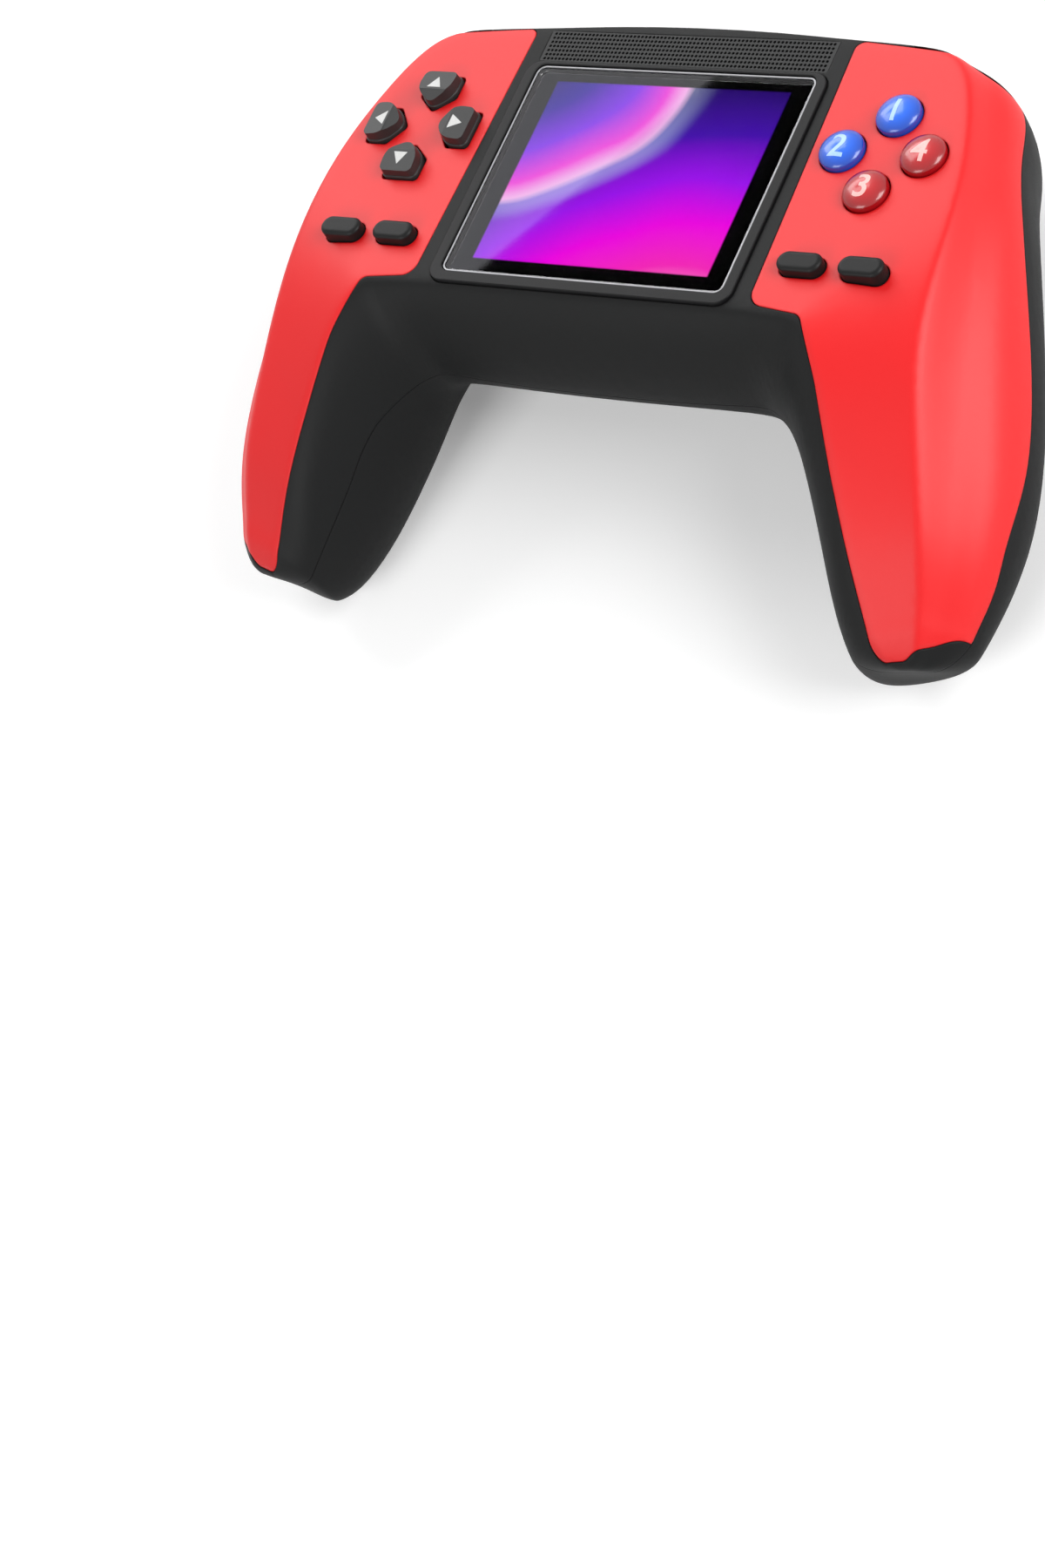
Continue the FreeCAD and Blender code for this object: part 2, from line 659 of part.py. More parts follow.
def rubber_pad(sheet, spots, radius):
    low = BOARD_TOP + STACK_GAP
    domes = [Part.makeCone(radius, radius - DOME_TAPER, DOME_H, Vector(x, y, low + PAD_SHEET))
             for x, y in spots]
    return sheet.fuse(domes)


def cluster_pad(side):
    low = BOARD_TOP + STACK_GAP
    sheet = post(PAD_R, side * PAD_X, PAD_Y, low, low + PAD_SHEET)
    spots = [(x, y) for x, y, turn in places(4, side * PAD_X, PAD_Y)]
    return rubber_pad(sheet, spots, DOME_R)


def menu_pad(side):
    low = BOARD_TOP + STACK_GAP
    sheet = plate(MENU_PAD_W, MENU_PAD_H, low, low + PAD_SHEET, side * MENU_X, MENU_Y, 2.0)
    return rubber_pad(sheet, menu_places(side), MENU_DOME_R)


# Screen stack
POCKET_FLOOR = GLASS_PROUD - GLASS_T - GLUE


def frame_corners(side_grow, top_grow, radius):
    # rectangle round the glass, grown by side_grow at the sides and below, by top_grow above
    w = GLASS_W / 2 + side_grow
    low, high = -GLASS_H / 2 - side_grow, GLASS_H / 2 + top_grow
    return [(-w, low, radius), (w, low, radius), (w, high, radius), (-w, high, radius)]


def screen_lens():
    return plate(GLASS_W, GLASS_H, GLASS_PROUD - GLASS_T, GLASS_PROUD, radius=GLASS_R)


def screen_trim():
    inner = frame_corners(GLASS_FIT, GLASS_FIT, GLASS_R + GLASS_FIT)
    outer = frame_corners(GLASS_FIT + TRIM_W, GLASS_FIT + TRIM_W, GLASS_R + TRIM_W)
    floor = POCKET_FLOOR + GLUE / 2
    return slab(outer, floor, TRIM_PROUD).cut(slab(inner, floor - 1, TRIM_PROUD + 1))


BEZEL_IN = 2 * GLASS_FIT + TRIM_W
BEZEL_OUT = BEZEL_IN + BEZEL_W
BEZEL_TOP_OUT = BEZEL_IN + BEZEL_TOP_W


def screen_bezel():
    inner = frame_corners(BEZEL_IN, BEZEL_IN, GLASS_R + BEZEL_IN)
    outer = frame_corners(BEZEL_OUT, BEZEL_TOP_OUT, GLASS_R + BEZEL_W)
    floor = POCKET_FLOOR + GLUE / 2
    rim = slab(outer, floor, BEZEL_PROUD).cut(slab(inner, floor - 1, BEZEL_PROUD + 1))
    crest = [edge for edge in rim.Edges if edge.BoundBox.ZMin > BEZEL_PROUD - 1e-4]
    return rim.makeChamfer(BEZEL_CHAMFER, crest)


def screen_pocket():
    grown = frame_corners(BEZEL_OUT + GLASS_FIT, BEZEL_TOP_OUT + GLASS_FIT, GLASS_R + BEZEL_W)
    pocket = slab(grown, POCKET_FLOOR, FAR)
    window = plate(LIT_W + 2 * WINDOW_MARGIN, LIT_H + 2 * WINDOW_MARGIN, -WALL - 1, 1, 0, LIT_UP, WINDOW_R)
    return [pocket, window]


GASKET_TOP = -WALL - STACK_GAP
MODULE_TOP = GASKET_TOP - GASKET_T - STACK_GAP
MODULE_LOW = MODULE_TOP - MODULE_T


def display_gasket():
    inner_w = LIT_W + 2 * WINDOW_MARGIN
    inner_h = LIT_H + 2 * WINDOW_MARGIN
    ring_out = plate(inner_w + 2 * GASKET_W, inner_h + GASKET_W, GASKET_TOP - GASKET_T, GASKET_TOP,
                     0, LIT_UP, GASKET_R)
    ring_in = plate(inner_w, inner_h, GASKET_TOP - GASKET_T - 1, GASKET_TOP + 1, 0, LIT_UP, WINDOW_R)
    return ring_out.cut(ring_in)


def display_module():
    back = plate(MODULE_W, MODULE_H, MODULE_LOW, MODULE_TOP, 0, LIT_UP, MODULE_R)
    # the panel itself fills the window and lies under the glass
    margin = 2 * (WINDOW_MARGIN - MODULE_FIT)
    top = GLASS_PROUD - GLASS_T - STACK_GAP
    panel = plate(LIT_W + margin, LIT_H + margin, MODULE_TOP, top, 0, LIT_UP, MODULE_PANEL_R)
    return back.fuse(panel)


def display_flex():
    # ribbon that leaves the display's lower edge and turns back onto the board
    top = MODULE_LOW - STACK_GAP
    low = BOARD_TOP + STACK_GAP
    turn_y = BOARD_BOTTOM - FLEX_OUT
    radius = (top - low) / 2
    centre = Vector(-FLEX_W / 2, turn_y, (top + low) / 2)
    pieces = []
    bend = Part.makeCylinder(radius, FLEX_W, centre, Vector(1, 0, 0))
    bend = bend.cut(Part.makeCylinder(radius - FLEX_T, FLEX_W, centre, Vector(1, 0, 0)))
    bend = bend.cut(block(-FLEX_W, FLEX_W, turn_y, turn_y + 2 * radius, low - radius, top + radius))
    pieces.append(block(-FLEX_W / 2, FLEX_W / 2, turn_y, turn_y + FLEX_LAP, top - FLEX_T, top))
    pieces.append(block(-FLEX_W / 2, FLEX_W / 2, turn_y, turn_y + FLEX_LAP, low, low + FLEX_T))
    return bend.fuse(pieces).removeSplitter()


# Grille and speaker
GRILLE_Y = GLASS_H / 2 + BEZEL_TOP_OUT + GLASS_FIT + GRILLE_GAP + GRILLE_H / 2


def speaker_grille():
    outline = rounded_wire(rectangle(GRILLE_W, GRILLE_H, 0, GRILLE_Y, GRILLE_R), -GRILLE_T)
    face = Part.Face(outline)
    holes = []
    for i in range(GRILLE_COLUMNS):
        for j in range(GRILLE_ROWS):
            x = (i - (GRILLE_COLUMNS - 1) / 2) * GRILLE_PITCH_X
            y = GRILLE_Y + (j - (GRILLE_ROWS - 1) / 2) * GRILLE_PITCH_Y
            circle = Part.Circle(Vector(x, y, -GRILLE_T), Vector(0, 0, 1), GRILLE_HOLE_R)
            holes.append(Part.Wire(circle.toShape()))
    return Part.Face([face.OuterWire] + holes, "Part::FaceMakerBullseye").extrude(Vector(0, 0, GRILLE_T))


def grille_pocket():
    seat = plate(GRILLE_W + 2 * GLASS_FIT, GRILLE_H + 2 * GLASS_FIT, -GRILLE_T - STACK_GAP, 1,
                 0, GRILLE_Y, GRILLE_R)
    sound = plate(SPEAKER_W, SOUND_SLOT_H, -WALL - 1, 1, 0, GRILLE_Y, SPEAKER_MOUTH_R)
    return [seat, sound]


def speaker():
    top = -WALL - STACK_GAP
    rim = plate(SPEAKER_RIM_W, SPEAKER_RIM_H, top - SPEAKER_RIM_T, top, 0, GRILLE_Y, SPEAKER_RIM_R)
    low = plate(SPEAKER_W, SPEAKER_H, top - SPEAKER_RIM_T - SPEAKER_T, top - SPEAKER_RIM_T,
                0, GRILLE_Y, SPEAKER_R)
    mouth = plate(SPEAKER_RIM_W - 2 * SPEAKER_LIP, SPEAKER_RIM_H - 2 * SPEAKER_LIP,
                  top - SPEAKER_RIM_T, top + 1, 0, GRILLE_Y, SPEAKER_MOUTH_R)
    return rim.cut(mouth).fuse(low)


# Board and what it carries
BOARD_LOW = BOARD_TOP - BOARD_T


def board_corners():
    w, n, c = BOARD_WING, BOARD_NECK, BOARD_WING_CUT
    top, neck, low = BOARD_WING_TOP, BOARD_NECK_TOP, BOARD_BOTTOM
    right = [(w - c, low), (w, low + c), (w, top - c), (w - c, top), (n, top), (n, neck)]
    return [(x, y, BOARD_R) for x, y in right] + [(-x, y, BOARD_R) for x, y in right[::-1]]


def board_spots():
    return [(s * x, y) for x, y in BOARD_POSTS for s in (-1, 1)]


def main_board():
    holes = [post(BOARD_HOLE_R, x, y, BOARD_LOW - 1, BOARD_TOP + 1) for x, y in board_spots()]
    return slab(board_corners(), BOARD_LOW, BOARD_TOP).cut(holes)


def board_screws():
    screws = []
    for x, y in board_spots():
        top = BOARD_LOW - STACK_GAP
        head = post(SCREW_HEAD_R, x, y, top - SCREW_HEAD_T, top)
        shank = post(SCREW_R, x, y, top, BOARD_TOP + SCREW_BITE)
        screws.append(head.fuse(shank))
    return group(screws)


def main_chips():
    top = BOARD_LOW - SOCKET_GAP
    return group([plate(CHIP_W, CHIP_W, top - CHIP_T, top, *CHIP_SPOT),
                  plate(FLASH_W, FLASH_H, top - CHIP_T, top, *FLASH_SPOT)])


SOCKET_TOP = BOARD_LOW - SOCKET_GAP
PORT_Z = SOCKET_TOP - PORT_H / 2
JACK_Z = SOCKET_TOP - JACK_BODY_H / 2
SLIDER_Z = SOCKET_TOP - SWITCH_BODY_H / 2


def lying_pill(width, height, x, z, y0, y1):
    # rounded block that lies along Y
    outline = rounded_wire([(a + x, b + z, height / 2 - ROUND_SPARE) for a, b, r in rectangle(width, height)])
    face = Part.Face(outline)
    face.Placement = FreeCAD.Placement(FreeCAD.Matrix(1, 0, 0, 0, 0, 0, -1, y1, 0, 1, 0, 0, 0, 0, 0, 1))
    return face.extrude(Vector(0, y0 - y1, 0))


def charging_port():
    y1 = SOCKET_FACE_Y
    shell = lying_pill(PORT_W, PORT_H, 0, PORT_Z, y1 - PORT_L, y1)
    mouth = lying_pill(PORT_W - 2 * PORT_WALL, PORT_H - 2 * PORT_WALL, 0, PORT_Z, y1 - PORT_L + 1, y1 + 1)
    tongue = block(-PORT_TONGUE_W / 2, PORT_TONGUE_W / 2, y1 - PORT_L + PORT_WALL, y1 - PORT_TONGUE_IN,
                   PORT_Z - PORT_TONGUE_T / 2, PORT_Z + PORT_TONGUE_T / 2)
    return shell.cut(mouth).fuse(tongue)


def av_jack():
    y1 = SOCKET_FACE_Y
    inside = y1 - WALL - JACK_WALL_GAP
    body = block(JACK_X - JACK_BODY_W / 2, JACK_X + JACK_BODY_W / 2, y1 - JACK_L, inside,
                 JACK_Z - JACK_BODY_H / 2, JACK_Z + JACK_BODY_H / 2)
    nose = bore_in_wall(JACK_NOSE_R - JACK_FIT, JACK_X, JACK_Z, inside - 1, y1)
    bore = bore_in_wall(JACK_BORE_R, JACK_X, JACK_Z, y1 - JACK_L + 1, y1 + 1)
    return body.fuse(nose).cut(bore)


def power_switch():
    y1 = SWITCH_FACE_Y
    body = block(SWITCH_X - SWITCH_BODY_W / 2, SWITCH_X + SWITCH_BODY_W / 2, y1 - SWITCH_BODY_D, y1,
                 SLIDER_Z - SWITCH_BODY_H / 2, SLIDER_Z + SWITCH_BODY_H / 2)
    half = (SLIDER_W + SLIDER_TRAVEL) / 2 + SLIDER_FIT
    groove = block(SWITCH_X - half, SWITCH_X + half, y1 - SLIDER_GROOVE, y1 + 1,
                   SLIDER_Z - SLIDER_H / 2 - SLIDER_FIT / 2, SLIDER_Z + SLIDER_H / 2 + SLIDER_FIT / 2)
    return body.cut(groove)


def power_slider():
    x = SWITCH_X - SLIDER_TRAVEL / 2
    tongue = block(x - SLIDER_W / 2, x + SLIDER_W / 2, SWITCH_FACE_Y - SLIDER_GROOVE + SLIDER_FIT,
                   SOCKET_FACE_Y + SLIDER_OUT, SLIDER_Z - SLIDER_H / 2, SLIDER_Z + SLIDER_H / 2)
    end = SOCKET_FACE_Y + SLIDER_OUT
    grooves = [block(x + k - NOTCH_W / 2, x + k + NOTCH_W / 2, end - NOTCH_W, FAR,
                     SLIDER_Z - SLIDER_H, SLIDER_Z + SLIDER_H) for k in (-NOTCH_PITCH, 0, NOTCH_PITCH)]
    return tongue.cut(grooves)


def top_wall_holes():
    half = (SLIDER_W + SLIDER_TRAVEL) / 2 + SLIDER_FIT
    y0, y1 = SWITCH_FACE_Y + SWITCH_WALL_GAP, FAR
    return [lying_pill(PORT_W + 2 * PORT_FIT, PORT_H + 2 * PORT_FIT, 0, PORT_Z, y0, y1),
            bore_in_wall(JACK_NOSE_R, JACK_X, JACK_Z, y0 - 1, y1),
            block(SWITCH_X - half, SWITCH_X + half, y0, y1, SLIDER_Z - SLIDER_H / 2 - SLIDER_FIT,
                  SLIDER_Z + SLIDER_H / 2 + SLIDER_FIT)]


# Battery bay, in the middle of the rear shell
CELL_TOP = BAY_TOP - BAY_WALL - BAY_GAP / 2
BAY_W = CELL_W + 2 * BAY_GAP + BAY_CONTACT_GAP
BAY_H = CELL_H + 2 * BAY_GAP


def battery():
    return plate(CELL_W, CELL_H, CELL_TOP - CELL_T, CELL_TOP, BAY_CONTACT_GAP / 2, CELL_Y, CELL_R)


def battery_contacts():
    x = -BAY_W / 2 + STACK_GAP
    z = CELL_TOP - CELL_T / 2
    return group([block(x, x + CONTACT_T, CELL_Y + k * CONTACT_PITCH - CONTACT_W / 2,
                        CELL_Y + k * CONTACT_PITCH + CONTACT_W / 2, z - CONTACT_H / 2, z + CONTACT_H / 2)
                  for k in (-1, 0, 1)])


def bay_box():
    outside = plate(BAY_W + 2 * BAY_WALL, BAY_H + 2 * BAY_WALL, -FAR, BAY_TOP, 0, CELL_Y, BAY_R)
    return outside.common(casing(RIB_SINK))


def bay_hollow():
    return plate(BAY_W, BAY_H, -FAR, BAY_TOP - BAY_WALL, 0, CELL_Y, BAY_R / 2)


def door_area(grow):
    return plate(BAY_W + 2 * DOOR_LAP + 2 * grow, BAY_H + 2 * DOOR_LAP + 2 * grow, -FAR, BAY_TOP,
                 0, CELL_Y, DOOR_R)


def battery_door():
    return casing(0.0).common(door_area(0.0)).cut(casing(DOOR_T))


def door_pocket():
    return door_area(DOOR_FIT).cut(casing(DOOR_T + DOOR_FIT))


# Case screws
def case_spots():
    return [(s * x, y) for x, y in CASE_SCREWS for s in (-1, 1)]


def case_posts():
    return [post(CASE_POST_R, x, y, -FAR, FAR).common(casing(RIB_SINK)) for x, y in case_spots()]


def well_floor(x, y):
    return seam_height(x, y) - CASE_SEAT_DROP


def case_screws():
    screws = []
    for x, y in case_spots():
        top = well_floor(x, y) - STACK_GAP
        head = post(CASE_HEAD_R, x, y, top - CASE_HEAD_T, top)
        shank = post(CASE_SCREW_R, x, y, top, seam_height(x, y) + CASE_SCREW_BITE)
        cross = [block(x - 1.3, x + 1.3, y - 0.25, y + 0.25, top - CASE_HEAD_T - 1, top - CASE_HEAD_T + 0.8),
                 block(x - 0.25, x + 0.25, y - 1.3, y + 1.3, top - CASE_HEAD_T - 1, top - CASE_HEAD_T + 0.8)]
        screws.append(head.fuse(shank).cut(cross))
    return group(screws)


def case_screw_holes():
    tools = []
    for x, y in case_spots():
        seam = seam_height(x, y)
        tools.append(post(CASE_WELL_R, x, y, -FAR, well_floor(x, y)))
        tools.append(post(CASE_HOLE_R, x, y, -FAR, seam))
        tools.append(post(CASE_PILOT_R, x, y, seam - 1, seam + CASE_SCREW_BITE + CASE_PILOT_SPARE))
    return tools


# Shoulders, drawn on the right
def panel_top_at(x):
    rim = panel_rim()
    for (x0, y0), (x1, y1) in zip(rim, rim[1:]):
        if x0 <= x <= x1:
            return lerp(y0, y1, (x - x0) / (x1 - x0))


def bumper_area(fit, top_gap):
    # room beyond the panel's upper edge, and below the deck also behind that edge
    x0, x1 = BUMPER_START - fit, BUMPER_CORNER + fit
    x2, y2 = panel_rim()[-1]
    bends = [(x, y) for x, y in panel_rim() if x0 < x < x2]
    rim = [(x0, panel_top_at(x0))] + bends + [(x2, y2)]
    top = [(x, y + top_gap, 0.0) for x, y in rim] + [(x2, FAR, 0.0), (x0, FAR, 0.0)]
    back = panel_top_at(x1) - BUMPER_BACK - fit
    low = [(x0, back, 0.0), (x1, back, 0.0), (x1, FAR, 0.0), (x0, FAR, 0.0)]
    ceiling = -WALL - BUMPER_FIT + fit
    return slab(top, -BUMPER_DEPTH - fit, FAR).fuse(slab(low, -BUMPER_DEPTH - fit, ceiling))


def bumper():
    thick = WALL + BUMPER_FIT + BUMPER_SKIN
    face = casing(0.0).cut(casing(thick)).common(bumper_area(0.0, BUMPER_TOP_GAP))
    keeper = casing(WALL + BUMPER_FIT).cut(casing(thick))
    tab = block(BUMPER_START - BUMPER_TAB, BUMPER_START + 1, PIVOT_Y, FAR,
                -BUMPER_DEPTH + 1, -WALL - BUMPER_SKIN)
    nub = bore_in_wall(SWITCH_PLUNGER_R, SHOULDER_BOARD_X, BUMPER_SWITCH_Z,
                       plunger_end() + BUMPER_TRAVEL + STACK_GAP, panel_top_at(SHOULDER_BOARD_X))
    panel_room = panel_area(BUMPER_TOP_GAP).cut(casing(PANEL + BUMPER_FIT))
    return face.fuse([keeper.common(tab), nub]).cut(panel_room)


def trigger():
    side = [(PIVOT_Y + y, PIVOT_Z + z, r) for y, z, r in TRIGGER_SIDE]
    plan = [(x, GLASS_TOP + y, r) for x, y, r in TRIGGER_PLAN]
    body = side_prism(side, TRIGGER_X0, TRIGGER_X1).common(slab(plan, -FAR, FAR))
    hub = rod(HUB_R, TRIGGER_X0, TRIGGER_X1, PIVOT_Y, PIVOT_Z)
    bore = rod(PIVOT_R + PIVOT_FIT, TRIGGER_X0 - 1, TRIGGER_X1 + 1, PIVOT_Y, PIVOT_Z)
    room = rod(SPRING_R + SPRING_FIT, TRIGGER_X0 - 1, TRIGGER_X0 + SPRING_L + 2 * SPRING_GAP,
               PIVOT_Y, PIVOT_Z)
    return body.fuse(hub).cut([bore, room])


def trigger_opening():
    x0, x1 = TRIGGER_X0 - TRIGGER_FIT, TRIGGER_X1 + TRIGGER_FIT
    back, step = PIVOT_Y - OPENING_BACK, PIVOT_Z - OPENING_STEP
    deep = block(x0, x1, back, FAR, step, -BUMPER_DEPTH + 1)
    mouth = block(x0, x1, PIVOT_Y - MOUTH_BACK, FAR, -FAR, step + 1)
    return [deep, mouth]


def trigger_ears():
    x0, x1 = TRIGGER_X0 - TRIGGER_FIT, TRIGGER_X1 + TRIGGER_FIT
    ears = []
    for a, b in ((x0 - EAR_T, x0), (x1, x1 + EAR_T)):
        ear = block(a, b, PIVOT_Y - EAR_BACK, PIVOT_Y + EAR_FRONT, -FAR, PIVOT_Z + EAR_TOP)
        ears.append(ear.common(casing(RIB_SINK)))
    return ears


def trigger_pin():
    ends = TRIGGER_FIT + EAR_T
    return rod(PIVOT_R, TRIGGER_X0 - ends, TRIGGER_X1 + ends, PIVOT_Y, PIVOT_Z)


def trigger_spring():
    x0 = TRIGGER_X0 + SPRING_GAP / 2
    sleeve = rod(SPRING_R, x0, x0 + SPRING_L, PIVOT_Y, PIVOT_Z)
    return sleeve.cut(rod(PIVOT_R + SPRING_FIT, x0 - 1, x0 + SPRING_L + 1, PIVOT_Y, PIVOT_Z))


BOARD_GAP = 0.3
SHOULDER_BOARD_Y = BOARD_WING_TOP + BOARD_GAP


def shoulder_board():
    half = SHOULDER_BOARD_W / 2
    return block(SHOULDER_BOARD_X - half, SHOULDER_BOARD_X + half, SHOULDER_BOARD_Y,
                 SHOULDER_BOARD_Y + SHOULDER_BOARD_T, *SHOULDER_BOARD_Z)


def tact_switch(x, y, z):
    # switch with its back at y, pressed from +Y
    half = SWITCH_W / 2
    body = block(x - half, x + half, y, y + SWITCH_BODY, z - half, z + half)
    return body.fuse(bore_in_wall(SWITCH_PLUNGER_R, x, z, y + SWITCH_BODY, y + SWITCH_BODY + SWITCH_PLUNGER))


def plunger_end():
    return SHOULDER_BOARD_Y + SHOULDER_BOARD_T + STACK_GAP + SWITCH_BODY + SWITCH_PLUNGER


def tact_switches():
    front = SHOULDER_BOARD_Y + SHOULDER_BOARD_T + STACK_GAP
    return both([tact_switch(SHOULDER_BOARD_X, front, BUMPER_SWITCH_Z),
                 tact_switch(TRIGGER_SWITCH_X, TRIGGER_SWITCH_Y, TRIGGER_SWITCH_Z)])


def switch_bracket():
    half = SWITCH_W / 2 + 1
    y1 = TRIGGER_SWITCH_Y - STACK_GAP
    return block(TRIGGER_SWITCH_X - half, TRIGGER_SWITCH_X + half, y1 - BRACKET_T, y1, -FAR,
                 TRIGGER_SWITCH_Z + SWITCH_W / 2).common(casing(RIB_SINK))


# Shells
def shells():
    hollow = casing(0.0).cut(casing(WALL)).fuse(case_posts())
    openings = [bumper_area(BUMPER_FIT, 0.0)] + trigger_opening()
    hollow = hollow.cut(both(openings) + case_screw_holes() + top_wall_holes())
    front = hollow.common(front_of_seam(SEAM / 2))
    rear = hollow.cut(front_of_seam(-SEAM / 2))
    return front, rear


def front_shell(blank):
    posts = [post(BOARD_POST_R, x, y, BOARD_TOP + STACK_GAP, -WALL / 2) for x, y in board_spots()]
    pilots = [post(PILOT_R, x, y, BOARD_TOP - 1, BOARD_TOP + SCREW_BITE + 0.5) for x, y in board_spots()]
    tools = screen_pocket() + grille_pocket() + button_holes(-1) + button_holes(1) + pilots
    body = blank.fuse(posts).cut(tools).cut(flange_rooms())
    pocket = panel_pocket()
    return largest(body.cut(pocket).cut(mirror(pocket)))


def rear_shell(blank):
    ribs = both(trigger_ears() + [switch_bracket()])
    bores = both([rod(PIVOT_R + 0.02, TRIGGER_X0 - 9, TRIGGER_X1 + 9, PIVOT_Y, PIVOT_Z)])
    body = blank.fuse([bay_box()] + ribs)
    return body.cut([bay_hollow(), door_pocket()] + bores)


def build():
    parts = {}
    panel = face_panel()
    parts["left_face_panel"] = mirror(panel).cut(button_holes(-1))
    parts["right_face_panel"] = panel.cut(button_holes(1))
    front, rear = shells()
    parts["front_shell"] = front_shell(front)
    parts["rear_shell"] = rear_shell(rear)
    parts["speaker_grille"] = speaker_grille()
    parts["speaker"] = speaker()
    parts["screen_lens"] = screen_lens()
    parts["screen_trim"] = screen_trim()
    parts["screen_bezel"] = screen_bezel()
    parts["display_gasket"] = display_gasket()
    parts["display_module"] = display_module()
    parts["display_flex"] = display_flex()
    for name, (x, y, turn) in zip(DPAD_NAMES, places(4, -PAD_X, PAD_Y)):
        parts["dpad_%s_key" % name] = key_cap(x, y, turn)
    for name, (x, y, turn) in zip(ACTION_NAMES, places(4, PAD_X, PAD_Y)):
        parts["action_%s_button" % name] = action_cap(x, y)
    for side, names in MENU_NAMES.items():
        for name, (x, y) in zip(names, menu_places(side)):
            parts["%s_button" % name] = menu_cap(x, y)
    for side, word in ((-1, "dpad"), (1, "action")):
        parts["%s_rubber_pad" % word] = cluster_pad(side)
    for side, word in ((-1, "left"), (1, "right")):
        parts["%s_menu_rubber_pad" % word] = menu_pad(side)
    parts["main_board"] = main_board()
    parts["main_chips"] = main_chips()
    parts["board_screws"] = board_screws()
    parts["charging_port"] = charging_port()
    parts["av_jack"] = av_jack()
    parts["power_switch"] = power_switch()
    parts["power_slider"] = power_slider()
    parts["battery"] = battery()
    parts["battery_contacts"] = battery_contacts()
    parts["battery_door"] = battery_door()
    parts["case_screws"] = case_screws()
    right_bumper, right_trigger = bumper(), trigger()
    parts["right_bumper"], parts["left_bumper"] = right_bumper, mirror(right_bumper)
    parts["right_trigger"], parts["left_trigger"] = right_trigger, mirror(right_trigger)
    parts["trigger_pins"] = group(both([trigger_pin()]))
    parts["trigger_springs"] = group(both([trigger_spring()]))
    parts["shoulder_boards"] = group(both([shoulder_board()]))
    parts["tact_switches"] = group(tact_switches())
    return parts


def lowest(shapes, tilt):
    low = FAR
    for shape in shapes:
        turned = shape.copy()
        turned.rotate(Vector(0, 0, 0), Vector(1, 0, 0), tilt)
        low = min(low, turned.optimalBoundingBox(False, False).ZMin)
    return low


def rest_tilt(parts):
    # angle at which grips and triggers touch the table together
    grips, triggers = [parts["rear_shell"]], [parts["right_trigger"]]
    flat, steep = 0.0, -STEEPEST_REST
    for _ in range(REST_STEPS):
        tilt = (flat + steep) / 2
        if lowest(grips, tilt) < lowest(triggers, tilt):
            flat = tilt
        else:
            steep = tilt
    return (flat + steep) / 2


def set_down(parts):
    # turn the console to its rest position, with its origin on the table below its middle
    tilt = rest_tilt(parts)
    for shape in parts.values():
        shape.rotate(Vector(0, 0, 0), Vector(1, 0, 0), tilt)
    box = Part.makeCompound(list(parts.values())).optimalBoundingBox(False, False)
    move = Vector(-box.Center.x, -box.Center.y, -box.ZMin)
    for shape in parts.values():
        shape.translate(move)
    return tilt, move


parts = build()
tilt, move = set_down(parts)
print("tilt %.4f move %.4f %.4f %.4f" % (tilt, move.x, move.y, move.z))
os.makedirs("parts", exist_ok=True)
for name, shape in parts.items():
    shape.exportStep("parts/%s.step" % name)
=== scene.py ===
import bpy
import bmesh
import json
import math
from mathutils import Matrix, Vector


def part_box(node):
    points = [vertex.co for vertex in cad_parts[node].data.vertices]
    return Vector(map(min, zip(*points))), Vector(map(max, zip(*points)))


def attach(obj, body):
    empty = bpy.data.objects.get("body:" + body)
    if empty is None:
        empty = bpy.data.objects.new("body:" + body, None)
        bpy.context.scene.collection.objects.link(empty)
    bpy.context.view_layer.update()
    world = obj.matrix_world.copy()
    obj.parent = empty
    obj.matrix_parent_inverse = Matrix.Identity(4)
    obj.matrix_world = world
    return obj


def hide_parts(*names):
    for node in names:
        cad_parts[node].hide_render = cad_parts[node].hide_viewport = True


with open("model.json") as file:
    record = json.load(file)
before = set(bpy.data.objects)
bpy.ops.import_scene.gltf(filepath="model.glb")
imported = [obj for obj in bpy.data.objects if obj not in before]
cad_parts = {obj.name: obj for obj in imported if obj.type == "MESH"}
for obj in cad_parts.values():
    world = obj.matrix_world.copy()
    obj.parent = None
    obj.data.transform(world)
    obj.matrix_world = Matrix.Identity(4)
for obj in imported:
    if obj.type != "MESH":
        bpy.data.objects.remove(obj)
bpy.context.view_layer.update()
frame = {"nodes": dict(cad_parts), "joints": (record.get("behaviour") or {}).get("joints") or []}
nodes = frame["nodes"]
joints = {joint["name"]: joint for joint in frame["joints"]}
print("frame loaded")

# The console lies tilted on its grips and triggers. Pieces are drawn in millimetres on its
# level face, with the middle of the glass at the origin, and then laid onto that face.
glass = {"size": (57.3, 44.0), "corner": 1.2, "edge": 0.12, "top": 0.05, "thick": 1.2,
         "lit": (49.0, 38.8), "litUp": 0.5}
faceUp = -Vector(joints["dpad_up_press"]["axis"]).normalized()
faceRight = Vector((1, 0, 0))
faceBack = faceUp.cross(faceRight)
lensLow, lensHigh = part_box("screen_lens")
faceMiddle = (lensLow + lensHigh) / 2 - faceUp * (glass["top"] - glass["thick"] / 2) / 1000
faceTilt = math.atan2(faceBack.z, faceBack.y)
toFace = Matrix.Translation(faceMiddle) @ Matrix.Rotation(faceTilt, 4, "X") @ Matrix.Scale(0.001, 4)


# Shader helpers
edgeSamples = 6


